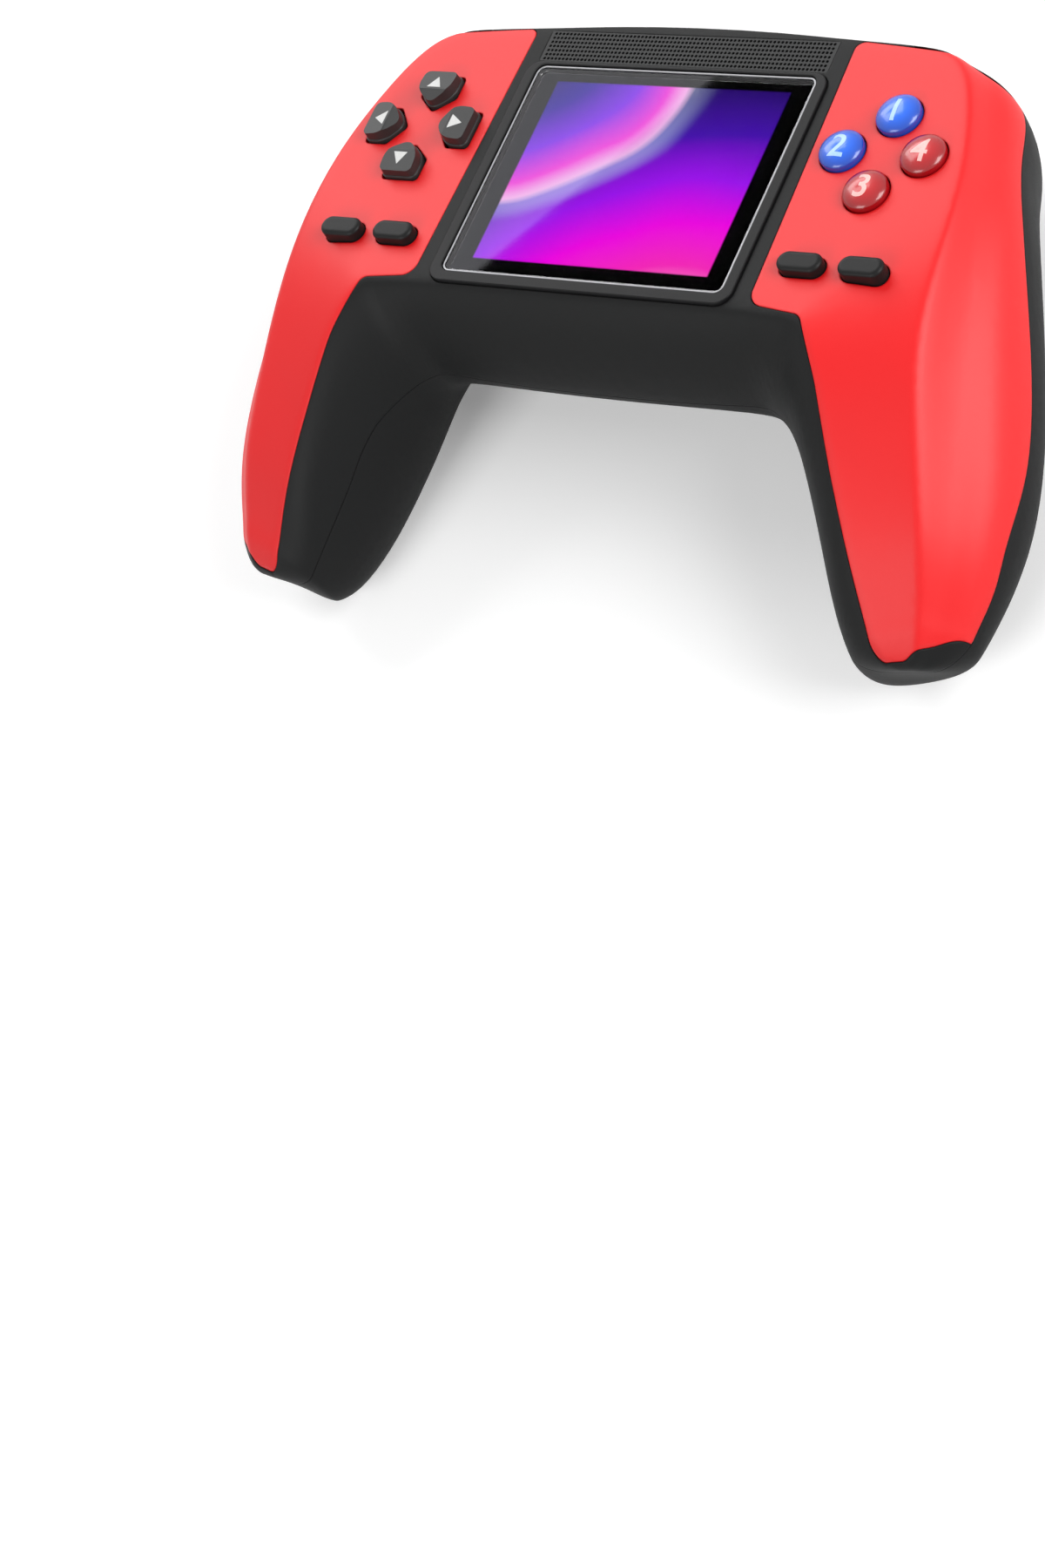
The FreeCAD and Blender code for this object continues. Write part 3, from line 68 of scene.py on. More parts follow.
class Wire:
    def __init__(self, paint, socket):
        self.paint = paint
        self.socket = socket

    def math(self, operation, first, second):
        return self.paint.add("Math", {"operation": operation}, {0: first, 1: second})

    def __add__(self, other):
        return self.math("ADD", self, other)

    def __radd__(self, other):
        return self.math("ADD", other, self)

    def __sub__(self, other):
        return self.math("SUBTRACT", self, other)

    def __rsub__(self, other):
        return self.math("SUBTRACT", other, self)

    def __mul__(self, other):
        return self.math("MULTIPLY", self, other)

    def __rmul__(self, other):
        return self.math("MULTIPLY", other, self)

    def __truediv__(self, other):
        return self.math("DIVIDE", self, other)

    def __pow__(self, other):
        return self.math("POWER", self, other)

    def __abs__(self):
        return self.paint.add("Math", {"operation": "ABSOLUTE"}, {0: self})


class Paint:
    def __init__(self, name, **fixed):
        self.material = bpy.data.materials.new(name)
        self.material.use_nodes = True
        self.tree = self.material.node_tree
        self.shader = self.tree.nodes["Principled BSDF"]
        for key, value in fixed.items():
            self.shader.inputs[key.replace("_", " ")].default_value = value

    def add(self, kind, settings=None, inputs=None, output=0):
        made = self.tree.nodes.new("ShaderNode" + kind)
        for key, value in (settings or {}).items():
            setattr(made, key, value)
        for key, value in (inputs or {}).items():
            if isinstance(value, Wire):
                self.tree.links.new(value.socket, made.inputs[key])
            else:
                made.inputs[key].default_value = value
        return Wire(self, made.outputs[output])

    def place(self):
        return self.add("TexCoord", output=3)

    def onFace(self):
        # position on the level face, in millimetres
        back = Matrix.Rotation(-faceTilt, 3, "X")
        return self.add("Mapping", {}, {0: self.place(), 1: -(back @ faceMiddle) * 1000,
                                        2: (-faceTilt, 0, 0), 3: (1000, 1000, 1000)})

    def split(self, vector):
        made = self.add("SeparateXYZ", {}, {0: vector}).socket.node
        return [Wire(self, socket) for socket in made.outputs]

    def noise(self, scale, detail=2.0, vector=None):
        return self.add("TexNoise", {}, {"Vector": vector or self.place(), "Scale": scale,
                                         "Detail": detail})

    def ramp(self, factor, stops):
        made = self.add("ValToRGB", {}, {0: factor}).socket.node
        while len(made.color_ramp.elements) < len(stops):
            made.color_ramp.elements.new(0.5)
        for element, (at, color) in zip(made.color_ramp.elements, stops):
            element.position = at
            element.color = (*color, 1)
        return Wire(self, made.outputs[0])

    def mix(self, factor, first, second):
        made = self.add("Mix", {"data_type": "RGBA"}, {0: factor}).socket.node
        for socket, value in ((made.inputs[6], first), (made.inputs[7], second)):
            if isinstance(value, Wire):
                self.tree.links.new(value.socket, socket)
            else:
                socket.default_value = (*value, 1)
        return Wire(self, made.outputs[2])

    def feed(self, name, wire):
        self.tree.links.new(wire.socket, self.shader.inputs[name])

    def relief(self, height, depth, edge=0.0):
        # fine relief in metres, over edges rounded by the same amount everywhere
        inputs = {"Height": height, "Distance": depth, "Strength": 1.0}
        if edge:
            inputs["Normal"] = self.add("Bevel", {"samples": edgeSamples}, {"Radius": edge})
        self.feed("Normal", self.add("Bump", {}, inputs))


def clamped(paint, wire, low, high):
    return paint.add("MapRange", {"clamp": True}, {"Value": wire, "From Min": low, "From Max": high})


def awayFrom(middle, x, y):
    return ((x - middle[0]) ** 2 + (y - middle[1]) ** 2) ** 0.5


def darker(color, share):
    return tuple(c * share for c in color)


# Finishes
moulded = {"ior": 1.5, "wander": 45.0, "darkest": 0.9, "grainDetail": 3.0, "roughSpread": 0.12}


def mouldedPlastic(name, look):
    # tint wanders a little, the surface has a fine spark-eroded grain
    paint = Paint(name, IOR=moulded["ior"], Specular_IOR_Level=look["shine"])
    wander = paint.noise(moulded["wander"])
    grain = paint.noise(look["grain"], moulded["grainDetail"])
    paint.feed("Base Color", paint.mix(wander, darker(look["color"], moulded["darkest"]), look["color"]))
    paint.feed("Roughness", look["rough"] + (grain - 0.5) * moulded["roughSpread"])
    paint.relief(grain, look["depth"], look.get("edge", 0.0))
    return paint.material


plastics = {
    "shellBlack": {"color": (0.0085, 0.0088, 0.009), "rough": 0.5, "shine": 0.13, "grain": 5200,
                   "depth": 0.000012, "edge": 0.0004},
    "panelRed": {"color": (0.74, 0.0065, 0.0085), "rough": 0.47, "shine": 0.42, "grain": 4200,
                 "depth": 0.000005, "edge": 0.00045},
    "keyGrey": {"color": (0.022, 0.0225, 0.0225), "rough": 0.42, "shine": 0.28, "grain": 6000,
                "depth": 0.000005},
    "menuBlack": {"color": (0.0085, 0.0087, 0.0088), "rough": 0.42, "shine": 0.15, "grain": 6000,
                  "depth": 0.000006},
    "shoulderBlack": {"color": (0.014, 0.014, 0.015), "rough": 0.38, "shine": 0.25, "grain": 5000,
                      "depth": 0.000006, "edge": 0.0004},
    "bezelBlack": {"color": (0.007, 0.007, 0.0075), "rough": 0.4, "shine": 0.14, "grain": 5200,
                   "depth": 0.000005},
    "grilleBlack": {"color": (0.016, 0.0164, 0.0168), "rough": 0.5, "shine": 0.22, "grain": 5200,
                    "depth": 0.000006},
    "switchGrey": {"color": (0.05, 0.05, 0.052), "rough": 0.5, "shine": 0.5, "grain": 4000,
                   "depth": 0.000008},
    "chipBlack": {"color": (0.012, 0.012, 0.012), "rough": 0.55, "shine": 0.5, "grain": 5000,
                  "depth": 0.00001},
    "cellWrap": {"color": (0.09, 0.14, 0.3), "rough": 0.35, "shine": 0.5, "grain": 900,
                 "depth": 0.00002},
}
finish = {name: mouldedPlastic(name, look) for name, look in plastics.items()}


metal = {"streak": 3000.0, "darkest": 0.88, "roughSpread": 0.1, "depth": 0.000004}
metals = {    # colour and roughness
    "trimSilver": ((0.23, 0.23, 0.24), 0.3),
    "screwSteel": ((0.55, 0.55, 0.57), 0.32),
    "contactBrass": ((0.86, 0.62, 0.28), 0.28),
}


def bareMetal(name, color, rough):
    # fine streaks in tint and polish
    paint = Paint(name, Metallic=1.0)
    streak = paint.noise(metal["streak"])
    paint.feed("Base Color", paint.mix(streak, darker(color, metal["darkest"]), color))
    paint.feed("Roughness", rough + (streak - 0.5) * metal["roughSpread"])
    paint.relief(streak, metal["depth"])
    return paint.material


for name, look in metals.items():
    finish[name] = bareMetal(name, *look)


specks = {"detail": 4.0, "darkest": 0.75, "roughSpread": 0.15, "depth": 0.00001}
mattes = {    # colour, roughness and grain
    "siliconeGrey": ((0.2, 0.2, 0.21), 0.6, 2500),
    "boardGreen": ((0.01, 0.12, 0.045), 0.3, 700),
    "ribbonAmber": ((0.5, 0.22, 0.03), 0.3, 500),
}


def speckled(name, color, rough, grain):
    # silicone rubber, varnished boards and print
    paint = Paint(name)
    speck = paint.noise(grain, specks["detail"])
    paint.feed("Base Color", paint.mix(speck, darker(color, specks["darkest"]), color))
    paint.feed("Roughness", rough + (speck - 0.5) * specks["roughSpread"])
    paint.relief(speck, specks["depth"])
    return paint.material


for name, look in mattes.items():
    finish[name] = speckled(name, *look)
print("finishes mixed")


# Mesh helpers
sharpFrom = {"facets": 35, "rounds": 50, "strip": 40, "cadCopy": 28}    # degrees
cadCopy = {"merge": 0.000002, "sliver": 0.000001}
tolerance = {"level": 0.01, "weld": 0.001, "cut": 0.0001}
stemLap = 0.2


def sharpened(shape, degrees):
    limit = math.radians(degrees)
    for face in shape.faces:
        face.smooth = True
    for edge in shape.edges:
        edge.smooth = len(edge.link_faces) == 2 and edge.calc_face_angle(0) < limit


def asPiece(name, shape, material, body, stands=(), edges="facets", fromCad=False):
    if not fromCad:
        bmesh.ops.recalc_face_normals(shape, faces=shape.faces)
    sharpened(shape, sharpFrom[edges])
    mesh = bpy.data.meshes.new(name)
    shape.to_mesh(mesh)
    shape.free()
    if not fromCad:
        mesh.transform(toFace)
    mesh.materials.append(material)
    piece = bpy.data.objects.new(name, mesh)
    bpy.context.scene.collection.objects.link(piece)
    flatten = piece.modifiers.new("even normals", "WEIGHTED_NORMAL")
    flatten.keep_sharp = True
    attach(piece, body)
    if stands:
        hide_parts(*stands)


def smoothCopy(node, name, material, body):
    # the part's own shape with its facets joined up and shaded smooth
    shape = bmesh.new()
    shape.from_mesh(nodes[node].data)
    bmesh.ops.remove_doubles(shape, verts=shape.verts, dist=cadCopy["merge"])
    bmesh.ops.dissolve_degenerate(shape, edges=shape.edges, dist=cadCopy["sliver"])
    asPiece(name, shape, material, body, [node], edges="cadCopy", fromCad=True)


def flatOutline(shape, corners, radius, z, segments=5):
    # one face from a few corners, which are rounded one after the other
    verts = [shape.verts.new((x, y, z)) for x, y in corners]
    shape.faces.new(verts)
    for vert in verts:
        bmesh.ops.bevel(shape, geom=[vert], offset=radius, offset_type="OFFSET", affect="VERTICES",
                        segments=segments, profile=0.5, material=-1)
    shape.faces.ensure_lookup_table()
    return shape.faces[-1]


def raised(shape, face, height):
    # pushes a face up by height, and gives the new top back
    made = bmesh.ops.extrude_face_region(shape, geom=[face])
    top = [item for item in made["geom"] if isinstance(item, bmesh.types.BMFace)][0]
    bmesh.ops.translate(shape, verts=top.verts, vec=(0, 0, height))
    if face.is_valid:
        bmesh.ops.delete(shape, geom=[face], context="FACES_ONLY")
    return top


def drawnIn(shape, face, width):
    bmesh.ops.inset_region(shape, faces=[face], thickness=width, use_even_offset=True,
                           use_boundary=True)


def closeHoles(shape):
    bmesh.ops.holes_fill(shape, edges=[edge for edge in shape.edges if edge.is_boundary], sides=0)


def softenEdges(shape, edges, width, segments):
    bmesh.ops.bevel(shape, geom=edges, offset=width, offset_type="OFFSET", affect="EDGES",
                    segments=segments, profile=0.5, material=-1, clamp_overlap=True)


def addStem(shape, radius, low, high, segments):
    # a stem below a cap, which it enters a little
    bmesh.ops.create_cone(shape, cap_ends=True, segments=segments, radius1=radius, radius2=radius,
                          depth=high - low + stemLap,
                          matrix=Matrix.Translation((0, 0, (low + high + stemLap) / 2)))


# Casing
casing = [
    ("front_shell", "frontCasing", "shellBlack", "shell_black", "casing"),
    ("rear_shell", "rearCasing", "shellBlack", "shell_black", "casing"),
    ("left_face_panel", "leftPanel", "panelRed", "panel_red", "casing"),
    ("right_face_panel", "rightPanel", "panelRed", "panel_red", "casing"),
    ("battery_door", "batteryDoor", "shellBlack", "shell_black", "battery_door"),
    ("left_bumper", "leftBumper", "shoulderBlack", "shoulder_black", "left_bumper"),
    ("right_bumper", "rightBumper", "shoulderBlack", "shoulder_black", "right_bumper"),
    ("left_trigger", "leftTrigger", "shoulderBlack", "shoulder_black", "left_trigger"),
    ("right_trigger", "rightTrigger", "shoulderBlack", "shoulder_black", "right_trigger"),
]
for node, name, material, slotName, body in casing:
    smoothCopy(node, name, finish[material], body)
print("casing dressed")


# Direction keys: pentagons with a stepped foot and two facets that meet at a ridge
key = {"width": 7.7, "outer": 3.6, "shoulder": 0.95, "point": 3.95, "corner": 1.3, "height": 2.7,
       "flange": (-3.5, -2.6, 1.02), "pointSwell": 1.3, "skirt": 0.55, "step": 0.2, "draft": 0.955,
       "slopes": (17.0, 7.0), "spare": 0.6, "edge": 0.28, "footEdge": 0.07, "stem": (2.4, -4.6),
       "stemSides": 24, "padMiddle": (-47.8, 7.5), "offset": 7.8}
mark = {"half": 1.5, "length": 2.45, "thick": 0.05, "sunk": 0.02, "corner": 0.08, "from": 0.45,
        "color": (0.62, 0.62, 0.61), "rough": 0.45, "grain": 3000}
finish["markWhite"] = speckled("markWhite", mark["color"], mark["rough"], mark["grain"])


def cutSlope(shape, sign, degrees):
    # takes off what lies above one facet, and closes the cut
    ridge = Vector((0, -key["shoulder"], key["height"]))
    slope = math.radians(degrees)
    normal = Vector((0, sign * math.sin(slope), math.cos(slope)))
    cut = bmesh.ops.bisect_plane(shape, geom=shape.verts[:] + shape.edges[:] + shape.faces[:],
                                 plane_co=ridge, plane_no=normal, clear_outer=True, dist=tolerance["cut"])
    rim = [item for item in cut["geom_cut"] if isinstance(item, bmesh.types.BMEdge)]
    bmesh.ops.contextual_create(shape, geom=rim)


def directionKey(name, turn):
    shape = bmesh.new()
    half, low, high, grow = key["width"] / 2, *key["flange"]
    corners = [(half + grow, key["outer"] + grow), (-half - grow, key["outer"] + grow),
               (-half - grow, -key["shoulder"] - grow / 2), (0, -key["point"] - grow * key["pointSwell"]),
               (half + grow, -key["shoulder"] - grow / 2)]
    base = flatOutline(shape, corners, key["corner"] + grow, low)
    top = raised(shape, base, high - low)
    drawnIn(shape, top, grow)
    top = raised(shape, top, key["skirt"] - high)
    drawnIn(shape, top, key["step"])
    top = raised(shape, top, key["height"] + key["spare"] - key["skirt"])
    bmesh.ops.scale(shape, verts=top.verts, vec=(key["draft"], key["draft"], 1))
    cutSlope(shape, -1, key["slopes"][0])
    cutSlope(shape, 1, key["slopes"][1])
    halfway = (key["skirt"] + key["height"]) / 2
    crest = [edge for edge in shape.edges if min(v.co.z for v in edge.verts) > halfway]
    softenEdges(shape, crest, key["edge"], 3)
    foot = [edge for edge in shape.edges
            if all(abs(v.co.z - key["skirt"]) < tolerance["level"] for v in edge.verts)]
    softenEdges(shape, foot, key["footEdge"], 1)
    closeHoles(shape)
    radius, end = key["stem"]
    addStem(shape, radius, end, low, key["stemSides"])
    node = "dpad_%s_key" % name
    placeOnPad(shape, turn)
    asPiece(name + "Key", shape, finish["keyGrey"], node, [node])


def placeOnPad(shape, turn):
    spin = Matrix.Rotation(math.radians(turn), 4, "Z")
    middle = Vector((*key["padMiddle"], 0)) + spin @ Vector((0, key["offset"], 0))
    bmesh.ops.transform(shape, matrix=Matrix.Translation(middle) @ spin, verts=shape.verts)


def keyMark(name, turn):
    # white triangle on the outer facet, pointing outwards
    shape = bmesh.new()
    start = -key["shoulder"] + mark["from"]
    slope = math.radians(key["slopes"][1])
    corners = [(-mark["half"], start), (mark["half"], start), (0, start + mark["length"])]
    face = flatOutline(shape, corners, mark["corner"], 0.0, 2)
    raised(shape, face, mark["thick"])
    closeHoles(shape)
    for vert in shape.verts:
        vert.co.z += key["height"] - (vert.co.y + key["shoulder"]) * math.tan(slope) - mark["sunk"]
    placeOnPad(shape, turn)
    asPiece(name + "Mark", shape, finish["markWhite"], "dpad_%s_key" % name)


for number, name in enumerate(("up", "left", "down", "right")):
    directionKey(name, 90 * number)
    keyMark(name, 90 * number)
print("direction keys made")


# Action buttons: low domes with a numeral
dome = {"radius": 4.05, "edge": 1.15, "height": 2.4, "round": 0.35, "flange": (4.87, -3.5, -2.6),
        "roundPoints": ((0.0, 1.0), (0.12, 0.45), (0.45, 0.0)), "rings": 6,
        "stem": (2.4, -4.3), "middle": (47.8, 7.5), "offset": 7.8, "steps": 56}
# from and to set where the cap's painted shade runs from the lit middle to the darker rim
capCoatAndShade = {"coat": 0.4, "coatRough": 0.06, "cloud": 260.0, "cloudShare": 0.12, "from": 0.35, "to": 1.0,
       "rough": 0.24, "roughSpread": 0.08, "grain": 5000.0}
capColors = {    # rim (painted shade), lit middle (painted light), figure print
    "button_blue": ((0.004, 0.055, 0.42), (0.012, 0.15, 0.86), (0.42, 0.66, 0.98)),
    "button_red": ((0.27, 0.002, 0.005), (0.52, 0.006, 0.011), (0.92, 0.5, 0.47)),
}
figure = {"size": 6.3, "fatter": 0.07, "curveSteps": 4, "cell": 0.3, "cells": 8, "reach": 3.9,
          "above": 0.025, "thick": 0.12, "rough": 0.3, "grain": 3000}


def capWithPaintedShade(name, rim, litMiddle, centre):
    # clear-coated cap with painted shade: lighter in the middle and darker towards its rim, with a random
    # cloud
    paint = Paint(name, Coat_Weight=capCoatAndShade["coat"], Coat_Roughness=capCoatAndShade["coatRough"])
    x, y, z = paint.split(paint.onFace())
    cloud = paint.noise(capCoatAndShade["cloud"])
    depth = awayFrom(centre, x, y) / dome["radius"] + (cloud - 0.5) * capCoatAndShade["cloudShare"]
    # painted shade: the cap's colour darkens from its lit middle out to its rim
    paint.feed("Base Color", paint.mix(clamped(paint, depth, capCoatAndShade["from"], capCoatAndShade["to"]), litMiddle, rim))
    paint.feed("Roughness", capCoatAndShade["rough"] + (paint.noise(capCoatAndShade["grain"]) - 0.5) * capCoatAndShade["roughSpread"])
    return paint.material


def domeHeight(away):
    rise = dome["height"] - dome["edge"]
    ball = (dome["radius"] ** 2 + rise ** 2) / (2 * rise)
    return dome["height"] - ball + math.sqrt(ball ** 2 - away ** 2)


def actionButton(name, turn):
    spin = Matrix.Rotation(math.radians(turn), 4, "Z")
    middle = Vector((*dome["middle"], 0)) + spin @ Vector((0, dome["offset"], 0))
    shape = bmesh.new()
    flange, low, high = dome["flange"]
    radius, soft = dome["radius"], dome["round"]
    path = [(0, dome["stem"][1]), (dome["stem"][0], dome["stem"][1]), (dome["stem"][0], low),
            (flange, low), (flange, high), (radius, high)]
    path += [(radius - soft * inwards, dome["edge"] - soft * down) for inwards, down in dome["roundPoints"]]
    reach = radius - soft
    for k in range(dome["rings"], -1, -1):
        path.append((reach * k / dome["rings"], domeHeight(reach * k / dome["rings"])))
    verts = [shape.verts.new((x, 0, z)) for x, z in path]
    edges = [shape.edges.new(pair) for pair in zip(verts, verts[1:])]
    bmesh.ops.spin(shape, geom=verts + edges, cent=(0, 0, 0), axis=(0, 0, 1), angle=2 * math.pi,
                   steps=dome["steps"], use_merge=True)
    bmesh.ops.remove_doubles(shape, verts=shape.verts, dist=tolerance["weld"])
    bmesh.ops.translate(shape, verts=shape.verts, vec=middle)
    node = "action_%s_button" % name
    slotName = "button_blue" if name in ("top", "left") else "button_red"
    # the first two colours are the cap's painted shade at its rim and its painted light in the middle
    rim, litMiddle, ink = capColors[slotName]
    material = capWithPaintedShade(name + "PaintedShade", rim, litMiddle, middle)
    asPiece(name + "Button", shape, material, node, [node], edges="rounds")
    return middle, ink, slotName, node


def numeral(name, text, middle, color, body):
    # a plain figure laid over the dome
    curve = bpy.data.curves.new(name, "FONT")
    curve.body = text
    curve.size = figure["size"]
    curve.offset = figure["fatter"]
    curve.align_x = "CENTER"
    curve.align_y = "CENTER"
    curve.resolution_u = figure["curveSteps"]
    holder = bpy.data.objects.new(name, curve)
    bpy.context.scene.collection.objects.link(holder)
    bpy.context.view_layer.update()
    mesh = bpy.data.meshes.new_from_object(holder)
    bpy.data.objects.remove(holder)
    shape = bmesh.new()
    shape.from_mesh(mesh)
    bmesh.ops.remove_doubles(shape, verts=shape.verts, dist=tolerance["weld"])
    for at in range(-figure["cells"], figure["cells"] + 1):
        for axis in ((1, 0, 0), (0, 1, 0)):
            bmesh.ops.bisect_plane(shape, geom=shape.verts[:] + shape.edges[:] + shape.faces[:],
                                   plane_co=Vector(axis) * at * figure["cell"], plane_no=axis,
                                   dist=tolerance["cut"])
    across = [v.co.x for v in shape.verts]
    upwards = [v.co.y for v in shape.verts]
    bmesh.ops.translate(shape, verts=shape.verts, vec=(-(min(across) + max(across)) / 2,
                                                       -(min(upwards) + max(upwards)) / 2, 0))
    for vert in shape.verts:
        vert.co.z = domeHeight(min(vert.co.xy.length, figure["reach"])) + figure["above"]
    made = bmesh.ops.extrude_face_region(shape, geom=shape.faces[:])
    sunk = [item for item in made["geom"] if isinstance(item, bmesh.types.BMVert)]
    bmesh.ops.translate(shape, verts=sunk, vec=(0, 0, -figure["thick"]))
    bmesh.ops.translate(shape, verts=shape.verts, vec=middle)
    material = speckled(name + "Print", color, figure["rough"], figure["grain"])
    asPiece(name, shape, material, body)


for number, name in enumerate(("top", "left", "bottom", "right")):
    middle, ink, slotName, node = actionButton(name, 90 * number)
    numeral(name + "Figure", str(number + 1), middle, ink, node)
print("action buttons made")


# Menu buttons
menu = {"size": (8.5, 3.95), "height": 2.15, "rounding": (0.95, 0.7), "steps": 6,
        "flange": (-3.5, -2.6, 0.62), "sides": 40, "y": -15.9, "middle": 48.0, "halfPitch": 5.85,
        "stem": (1.5, -4.9), "stemSides": 20}
menuButtons = {"reset": (-1, -1), "volume": (-1, 1), "select": (1, -1), "start": (1, 1)}


def pillFace(shape, width, depth, z):
    # a disc with its two halves drawn apart
    turn = Matrix.Rotation(math.pi / menu["sides"], 4, "Z")
    ring = bmesh.ops.create_circle(shape, cap_ends=True, segments=menu["sides"], radius=depth / 2,
                                   matrix=turn)["verts"]
    for vert in ring:
        vert.co.x += math.copysign((width - depth) / 2, vert.co.x)
        vert.co.z = z
    return ring[0].link_faces[0]


def menuButton(name, side, place):
    shape = bmesh.new()
    low, high, grow = menu["flange"]
    width, depth = menu["size"]
    base = pillFace(shape, width + 2 * grow, depth + 2 * grow, low)
    top = raised(shape, base, high - low)
    drawnIn(shape, top, grow)
    across, up = menu["rounding"]
    top = raised(shape, top, menu["height"] - up - high)
    angles = [math.pi / 2 * k / menu["steps"] for k in range(menu["steps"] + 1)]
    for start, end in zip(angles, angles[1:]):
        drawnIn(shape, top, across * (math.cos(start) - math.cos(end)))
        bmesh.ops.translate(shape, verts=top.verts, vec=(0, 0, up * (math.sin(end) - math.sin(start))))
    closeHoles(shape)
    radius, foot = menu["stem"]
    addStem(shape, radius, foot, low, menu["stemSides"])
    x = side * menu["middle"] + place * menu["halfPitch"]
    bmesh.ops.translate(shape, verts=shape.verts, vec=(x, menu["y"], 0))
    node = name + "_button"
    asPiece(name + "Pill", shape, finish["menuBlack"], node, [node], edges="rounds")


for name, (side, place) in menuButtons.items():
    menuButton(name, side, place)
print("menu buttons made")


# Speaker strip: a plate of small round holes
strip = {"size": (60.0, 6.7), "y": 27.03, "thick": 0.8, "columns": 73, "rows": 7, "pitch": (0.808, 0.92),
         "hole": 0.31, "holeSides": 8, "holeDepth": 0.56, "below": 0.02}


def stripTile():
    # one square with a hole, whose wall goes down
    px, py = strip["pitch"]
    tile = bmesh.new()
    outer = [tile.verts.new((x * px / 2, y * py / 2, 0)) for x, y in
             ((1, 0), (1, 1), (0, 1), (-1, 1), (-1, 0), (-1, -1), (0, -1), (1, -1))]
    ring = bmesh.ops.create_circle(tile, cap_ends=False, segments=strip["holeSides"],
                                   radius=strip["hole"])["verts"]
    ring.sort(key=lambda v: math.atan2(v.co.y, v.co.x) % (2 * math.pi))
    outerEdges = [tile.edges.new(pair) for pair in zip(outer, outer[1:] + outer[:1])]
    ringEdges = [edge for edge in tile.edges if edge not in outerEdges]
    bmesh.ops.bridge_loops(tile, edges=outerEdges + ringEdges)
    wall = bmesh.ops.extrude_edge_only(tile, edges=ringEdges)
    sunk = [item for item in wall["geom"] if isinstance(item, bmesh.types.BMVert)]
    bmesh.ops.translate(tile, verts=sunk, vec=(0, 0, -strip["holeDepth"]))
    mesh = bpy.data.meshes.new("tile")
    tile.to_mesh(mesh)
    tile.free()
    return mesh


def outerRim(shape):
    return [edge for edge in shape.edges if edge.is_boundary and
            abs(sum(v.co.z for v in edge.verts)) < tolerance["level"]]


def rimDrawnOut(shape):
    # new vertices that continue the plate past its rim
    made = bmesh.ops.extrude_edge_only(shape, edges=outerRim(shape))
    return [item for item in made["geom"] if isinstance(item, bmesh.types.BMVert)]


def speakerStrip():
    mesh = stripTile()
    px, py = strip["pitch"]
    midColumn, midRow = (strip["columns"] - 1) / 2, (strip["rows"] - 1) / 2
    whole = bmesh.new()
    for i in range(strip["columns"]):
        for j in range(strip["rows"]):
            known = len(whole.verts)
            whole.from_mesh(mesh)
            whole.verts.ensure_lookup_table()
            bmesh.ops.translate(whole, verts=whole.verts[known:],
                                vec=((i - midColumn) * px, (j - midRow) * py + strip["y"], 0))
    bpy.data.meshes.remove(mesh)
    bmesh.ops.remove_doubles(whole, verts=whole.verts, dist=tolerance["weld"])
    half, tall = strip["size"][0] / 2, strip["size"][1] / 2
    fieldX, fieldY = strip["columns"] * px / 2, strip["rows"] * py / 2
    for vert in rimDrawnOut(whole):
        away = vert.co.y - strip["y"]
        if abs(abs(vert.co.x) - fieldX) < tolerance["level"]:
            vert.co.x *= half / fieldX
        if abs(abs(away) - fieldY) < tolerance["level"]:
            vert.co.y = strip["y"] + away * tall / fieldY
    bmesh.ops.translate(whole, verts=rimDrawnOut(whole), vec=(0, 0, -strip["thick"]))
    bmesh.ops.translate(whole, verts=whole.verts, vec=(0, 0, -strip["below"]))
    asPiece("speakerStrip", whole, finish["grilleBlack"], "casing", ["speaker_grille"],
            edges="strip")


speakerStrip()
print("speaker strip made")


# Screen: bezel, silver ring, glass, black print and the lit picture
cornerSteps = 6


def ringPiece(name, inner, outer, low, high, bevel, material, stands, corner):
    # a frame between two rounded rectangles, each given by half its width, its bottom and its top
    shape = bmesh.new()
    loops = []
    for (half, bottom, top), radius in ((outer, corner[0]), (inner, corner[1])):
        face = flatOutline(shape, [(-half, bottom), (half, bottom), (half, top), (-half, top)],
                           radius, high, cornerSteps)
        loops.append(list(face.edges))
        bmesh.ops.delete(shape, geom=[face], context="FACES_ONLY")
    crest = loops[0] + loops[1]
    bmesh.ops.bridge_loops(shape, edges=crest)
    made = bmesh.ops.extrude_face_region(shape, geom=shape.faces[:])
    sunk = [item for item in made["geom"] if isinstance(item, bmesh.types.BMVert)]
    bmesh.ops.translate(shape, verts=sunk, vec=(0, 0, low - high))
    softenEdges(shape, [edge for edge in crest if edge.is_valid], bevel, 3)
    asPiece(name, shape, finish[material], "casing", stands, edges="rounds")


ring = {"trim": 0.42, "fit": 0.08, "bezel": 2.08, "bezelTop": 0.73, "trimUp": 0.25, "bezelUp": 0.55,
        "floor": -1.2, "trimEdge": 0.14, "bezelEdge": 0.2, "trimCorners": (1.65, 1.28),
        "bezelCorners": (3.0, 1.8)}
printed = {"inset": 0.1, "from": 0.045, "to": 0.012, "edge": 0.005, "corners": (1.1, 0.3)}
halfW, halfH = glass["size"][0] / 2, glass["size"][1] / 2
trimIn = ring["fit"]
trimOut = trimIn + ring["trim"]
bezelIn = trimOut + ring["fit"]
bezelOut = bezelIn + ring["bezel"]
ringPiece("silverRing", (halfW + trimIn, -halfH - trimIn, halfH + trimIn),
          (halfW + trimOut, -halfH - trimOut, halfH + trimOut), ring["floor"], ring["trimUp"],
          ring["trimEdge"], "trimSilver", ["screen_trim"], ring["trimCorners"])
ringPiece("screenRim", (halfW + bezelIn, -halfH - bezelIn, halfH + bezelIn),
          (halfW + bezelOut, -halfH - bezelOut, halfH + bezelIn + ring["bezelTop"]), ring["floor"],
          ring["bezelUp"], ring["bezelEdge"], "bezelBlack", ["screen_bezel"],
          ring["bezelCorners"])


